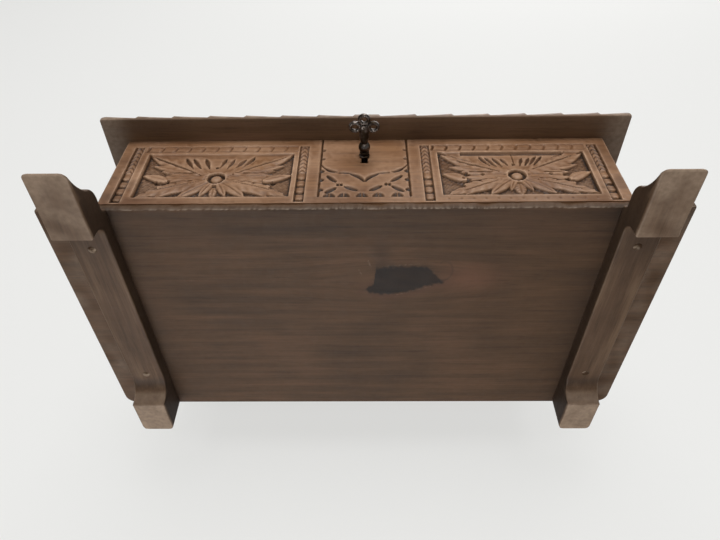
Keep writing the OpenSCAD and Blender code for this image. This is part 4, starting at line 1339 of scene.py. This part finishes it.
def turned(
    mesh: Mesh,
    profile: Sequence[Point],
    place: Place,
    axis: Grain,
    wide: Callable[[float], float] | None = None,
    sides: int = 40,
) -> None:
    """Adds a turned solid: its profile goes round an axis and is closed at both ends.

    Args:
        mesh: mesh that takes it.
        profile: (distance along the axis, radius) from one end to the other.
        place: point on the axis where the distance is 0.
        axis: axis that it is turned about, Y or Z.
        wide: factor on the sideways radius at a distance, for flattened stretches.
        sides: number of facets.
    """
    along, radius = np.array(profile).T
    angle = np.linspace(0, 2 * math.pi, sides, endpoint=False)
    stretch = np.ones(len(along)) if wide is None else np.array([wide(v) for v in along])
    u = radius[:, None] * np.cos(angle) * stretch[:, None]
    v = radius[:, None] * np.sin(angle)
    w = np.repeat(along[:, None], sides, axis=1)
    parts = (u, w, v) if axis is Grain.Y else (u, v, w)
    pts = np.stack(parts, -1) + np.array(place)
    turn = axis is Grain.Y
    index = mesh.grid(pts, wrap=True, flip=turn)
    mesh.face(index[0], flip=not turn)
    mesh.face(index[-1], flip=turn)


@dataclass
class TrefoilKey:
    """The key: three rings for a bow, a flaring neck, a grooved ball, a collar, a pipe and its bit."""

    axis_up: float = 83.7
    ring: float = 3.0
    wire: Point = (1.3, 1.4)
    reach: float = 28.7
    near: float = 23.1
    spread: float = 6.15
    pipe: float = 2.2
    bore: float = 1.15
    bore_end: float = 7.6
    bit_reach: float = 7.2
    bit_long: float = 5.8
    bit_half: float = 0.9
    ball_at: float = -7.8
    ball: float = 4.0

    def profile(self) -> list[Point]:
        """Outline of the turned stem from the bow to the pipe's mouth, and back down its bore."""
        turn = np.radians(np.linspace(32, 130, 14))
        ball = [(self.ball_at - self.ball * math.cos(t), self.ball * math.sin(t)) for t in turn]
        neck = [(-24.6, 0.6), (-24.2, 1.2), (-22.8, 1.45), (-18.0, 1.5), (-16.5, 1.6), (-14.5, 2.0)]
        waist = [(-13.0, 2.35), (-12.0, 2.5), (-11.6, 2.25)]
        bead = [(-4.9, 2.8), (-4.5, 2.75), (-4.1, 3.15), (-3.5, 3.25), (-3.0, 2.9), (-2.6, 2.3)]
        collar = [(-1.9, 2.3), (-1.65, 3.45), (-1.45, 3.62), (-0.6, 3.62), (-0.35, 3.4), (-0.3, 2.25)]
        mouth = [(self.tip - 0.3, self.pipe), (self.tip, self.pipe - 0.3), (self.tip, self.bore)]
        bore = [(self.bore_end, self.bore), (self.bore_end, 0.02)]
        return [*neck, *waist, *ball, *bead, *collar, (0.0, self.pipe), *mouth, *bore]

    def neck(self, at: float) -> float:
        """Sideways widening of the stem: round at the ball, over twice as wide at the bow."""
        return 1.0 + 1.2 * float(smooth(np.array((-12.2 - at) / 4.6)))

    def build(self, metal: bpy.types.Material) -> None:
        """Builds the key in its resting place, bow and bit level."""
        low, high = node_box("key")
        face = node_box("front_panel")[0][1]
        self.tip = high[1] - face
        place = ((low[0] + high[0]) / 2, face, self.axis_up)
        mesh = Mesh("trefoil_key")
        turned(mesh, self.profile(), place, Grain.Y, self.neck, 44)
        for x, y in ((0.0, -self.reach), (-self.spread, -self.near), (self.spread, -self.near)):
            self.torus(mesh, (place[0] + x, place[1] + y, place[2]))
        self.bit(mesh, place)
        key = mesh.build(Body.KEY, "key_bronze", metal, sharp=40)
        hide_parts("key")

    def torus(self, mesh: Mesh, place: Place) -> None:
        """Adds one ring of the bow: a tube of oval section round a level circle."""
        around = np.linspace(0, 2 * math.pi, 40, endpoint=False)
        section = np.linspace(0, 2 * math.pi, 16, endpoint=False)
        s, t = np.meshgrid(around, section, indexing="ij")
        r = self.ring + self.wire[0] * np.cos(t)
        pts = np.stack([r * np.cos(s), r * np.sin(s), self.wire[1] * np.sin(t)], -1)
        ring = mesh.grid(pts + np.array(place), wrap=True, flip=True)
        mesh.join(ring[-1], ring[0])

    def bit(self, mesh: Mesh, place: Place) -> None:
        """Adds the bit, a flat block that stands out to the left of the pipe."""
        x0, x1 = place[0] - self.bit_reach, place[0] - self.pipe + 0.6
        y0, y1 = place[1] + self.tip - self.bit_long, place[1] + self.tip
        low, high = (
            mesh.grid(np.array([[(x, y, level) for x in (x0, x1)] for y in (y0, y1)]), flip=flip)
            for level, flip in ((place[2] - self.bit_half, True), (place[2] + self.bit_half, False))
        )
        mesh.join(rim(high), rim(low))


@dataclass
class FootScrews:
    """Four domed screw heads that hold the rails, seen in the arches."""

    head: float = 2.8
    dome: float = 0.55
    shank: float = 1.5

    def build(self, metal: bpy.types.Material) -> None:
        """Builds all four screws, placed as the CAD node's corners say."""
        low, high = node_box("foot_screws")
        mesh = Mesh("foot_screw_heads")
        turn = np.radians(np.linspace(2, 90, 9))
        top = [(-self.dome * math.cos(t), self.head * math.sin(t)) for t in turn]
        profile = [*top, (0.1, self.head), (1.3, self.shank), (high[2] - low[2], self.shank)]
        for x in (low[0] + self.head, high[0] - self.head):
            for y in (low[1] + self.head, high[1] - self.head):
                turned(mesh, profile, (x, y, low[2]), Grain.Z, None, 28)
        screws = mesh.build(Body.BOX, "screw_steel", metal)
        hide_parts("foot_screws")


@dataclass(frozen=True)
class Studio:
    """Camera, lamps, world and the pale surfaces behind and under the part."""

    lens: float = 30.0
    sensor: float = 36.0
    place: Place = (3.2, -316.45, -269.4)
    right: Place = (0.99989, 0.01321, 0.00648)
    down: Place = (-0.00499, 0.71837, -0.6949)
    ahead: Place = (-0.01384, 0.69479, 0.71836)
    sky: float = 0.32
    behind: float = 86.0
    stage: float = 4.0
    lamps: tuple[tuple[str, Place, float, float], ...] = (
        ("overhead", (0.05, -1.7, 0.15), 1.2, 24.0),
        ("top", (0.4, -0.2, 1.9), 1.4, 22.0),
        ("below_rear", (-0.2, 0.6, -1.1), 0.9, 8.5),
        ("window", (-0.1, -1.4, -0.95), 0.35, 3.0),
    )

    def camera(self) -> None:
        """Puts the camera where the photograph was taken from: below and in front."""
        data = bpy.data.cameras.new("camera")
        data.lens = self.lens
        data.sensor_width = self.sensor
        data.sensor_fit = "HORIZONTAL"
        data.clip_start = 0.01
        data.clip_end = 30.0
        obj = new_object("camera", data)
        turn = Matrix((self.right, -Vector(self.down), -Vector(self.ahead))).transposed()
        obj.matrix_world = Matrix.Translation(Vector(self.place) * MM) @ turn.to_4x4()
        bpy.context.scene.camera = obj

    def lamp(self, name: str, place: Place, size: float, power: float) -> None:
        """Adds a square area lamp, in metres, that points at the part."""
        data = bpy.data.lights.new(name, "AREA")
        data.size = size
        data.energy = power
        obj = new_object(name, data)
        obj.location = place
        obj.rotation_mode = "QUATERNION"
        obj.rotation_quaternion = (-Vector(place)).to_track_quat("-Z", "Y")

    def world(self) -> None:
        """Even pale world, brighter where the camera sees it."""
        world = bpy.data.worlds.new("studio")
        bpy.context.scene.world = world
        n = Nodes(world, "OutputWorld")
        light = n.add("Background", {0: (0.98, 0.99, 1.0, 1), 1: self.sky})
        seen = n.add("Background", {0: linear("e9e9e7"), 1: 1.0})
        camera = n.add("LightPath").outputs["Is Camera Ray"]
        n.finish(n.add("MixShader", {0: camera, 1: light.outputs[0], 2: seen.outputs[0]}))

    def pale_surface(self, name: str, corners: Sequence[Place]) -> None:
        """Adds a pale matt plane that only the camera sees, and only from its front.

        It keeps the part's shadow, and takes no light away from what it would cover.
        """
        material = bpy.data.materials.new(name)
        n = Nodes(material)
        matt = n.add("BsdfDiffuse", {0: linear("898988")})
        glow = n.add("Emission", {0: linear("c8c8c6"), 1: 1.0})
        pale = n.add("AddShader", {0: matt.outputs[0], 1: glow.outputs[0]})
        clear = n.add("BsdfTransparent")
        seen = n.add("LightPath").outputs["Is Camera Ray"]
        front = n.math("SUBTRACT", 1.0, n.add("NewGeometry").outputs["Backfacing"])
        shown = n.math("MULTIPLY", seen, front)
        n.finish(n.add("MixShader", {0: shown, 1: clear.outputs[0], 2: pale.outputs[0]}))
        data = bpy.data.meshes.new(name)
        data.from_pydata(list(corners), [], [(0, 1, 2, 3)])
        data.materials.append(material)
        obj = new_object(name, data)

    def build(self) -> None:
        """Sets up the whole studio."""
        bpy.context.scene.view_settings.view_transform = "Standard"
        self.camera()
        self.world()
        for lamp in self.lamps:
            self.lamp(*lamp)
        back = (node_box("base_board")[1][1] + self.behind) * MM
        square = [(self.stage * a, self.stage * b) for a, b in ((-1, -1), (1, -1), (1, 1), (-1, 1))]
        self.pale_surface("table", [(a, back, b) for a, b in square])
        self.pale_surface("floor", [(a, b, 0) for a, b in square])


@dataclass
class Finishes:
    """All materials of the part, by slot."""

    made: dict[str, bpy.types.Material] = field(default_factory=dict)

    def __post_init__(self) -> None:
        """Builds every finish once."""
        for slot, finish in {**WOODS, **METALS}.items():
            self.made[slot] = finish.make()

    def dress(self, node: str, slot: str) -> None:
        """Gives a CAD node its material."""
        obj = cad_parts[node]
        obj.data.materials.clear()
        obj.data.materials.append(self.made[slot])


PLAIN_NODES = {
    "back_panel": "back_wood",
    "left_side": "wall_wood",
    "right_side": "wall_wood",
    "left_hinge_box_leaf": "hinge_iron",
    "left_hinge_lid_leaf": "hinge_iron",
    "left_hinge_pin": "screw_steel",
    "right_hinge_box_leaf": "hinge_iron",
    "right_hinge_lid_leaf": "hinge_iron",
    "right_hinge_pin": "screw_steel",
    "hinge_box_screws": "screw_steel",
    "hinge_lid_screws": "screw_steel",
    "lock_case": "lock_iron",
    "lock_cap": "lock_iron",
    "drill_pin": "screw_steel",
    "lock_bolt": "bolt_brass",
    "lock_screws": "screw_steel",
    "cap_screws": "screw_steel",
    "strike_plate": "lock_iron",
    "strike_screws": "screw_steel",
}


def main() -> None:
    """Builds the studio, the finishes and every piece."""
    logging.basicConfig(level=logging.INFO, format="%(message)s")
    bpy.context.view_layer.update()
    Studio().build()
    finishes = Finishes()
    for node, slot in PLAIN_NODES.items():
        finishes.dress(node, slot)
    CarvedFront().build(finishes.made["front_wood"])
    FootRail("left_foot_rail", "left_skid").build(finishes.made["rail_wood"])
    FootRail("right_foot_rail", "right_skid").build(finishes.made["rail_wood"])
    BaseBoard().build(finishes.made["board_wood"])
    NotchedLid().build(finishes.made["lid_wood"])
    TrefoilKey().build(finishes.made["key_bronze"])
    FootScrews().build(finishes.made["foot_steel"])


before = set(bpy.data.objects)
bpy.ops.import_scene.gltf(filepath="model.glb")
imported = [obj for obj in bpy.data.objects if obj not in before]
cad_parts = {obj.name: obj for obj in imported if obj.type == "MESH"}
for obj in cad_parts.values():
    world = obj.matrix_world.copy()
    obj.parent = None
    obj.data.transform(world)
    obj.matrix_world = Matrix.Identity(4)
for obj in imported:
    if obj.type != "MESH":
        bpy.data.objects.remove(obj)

if __name__ == "__main__":
    main()
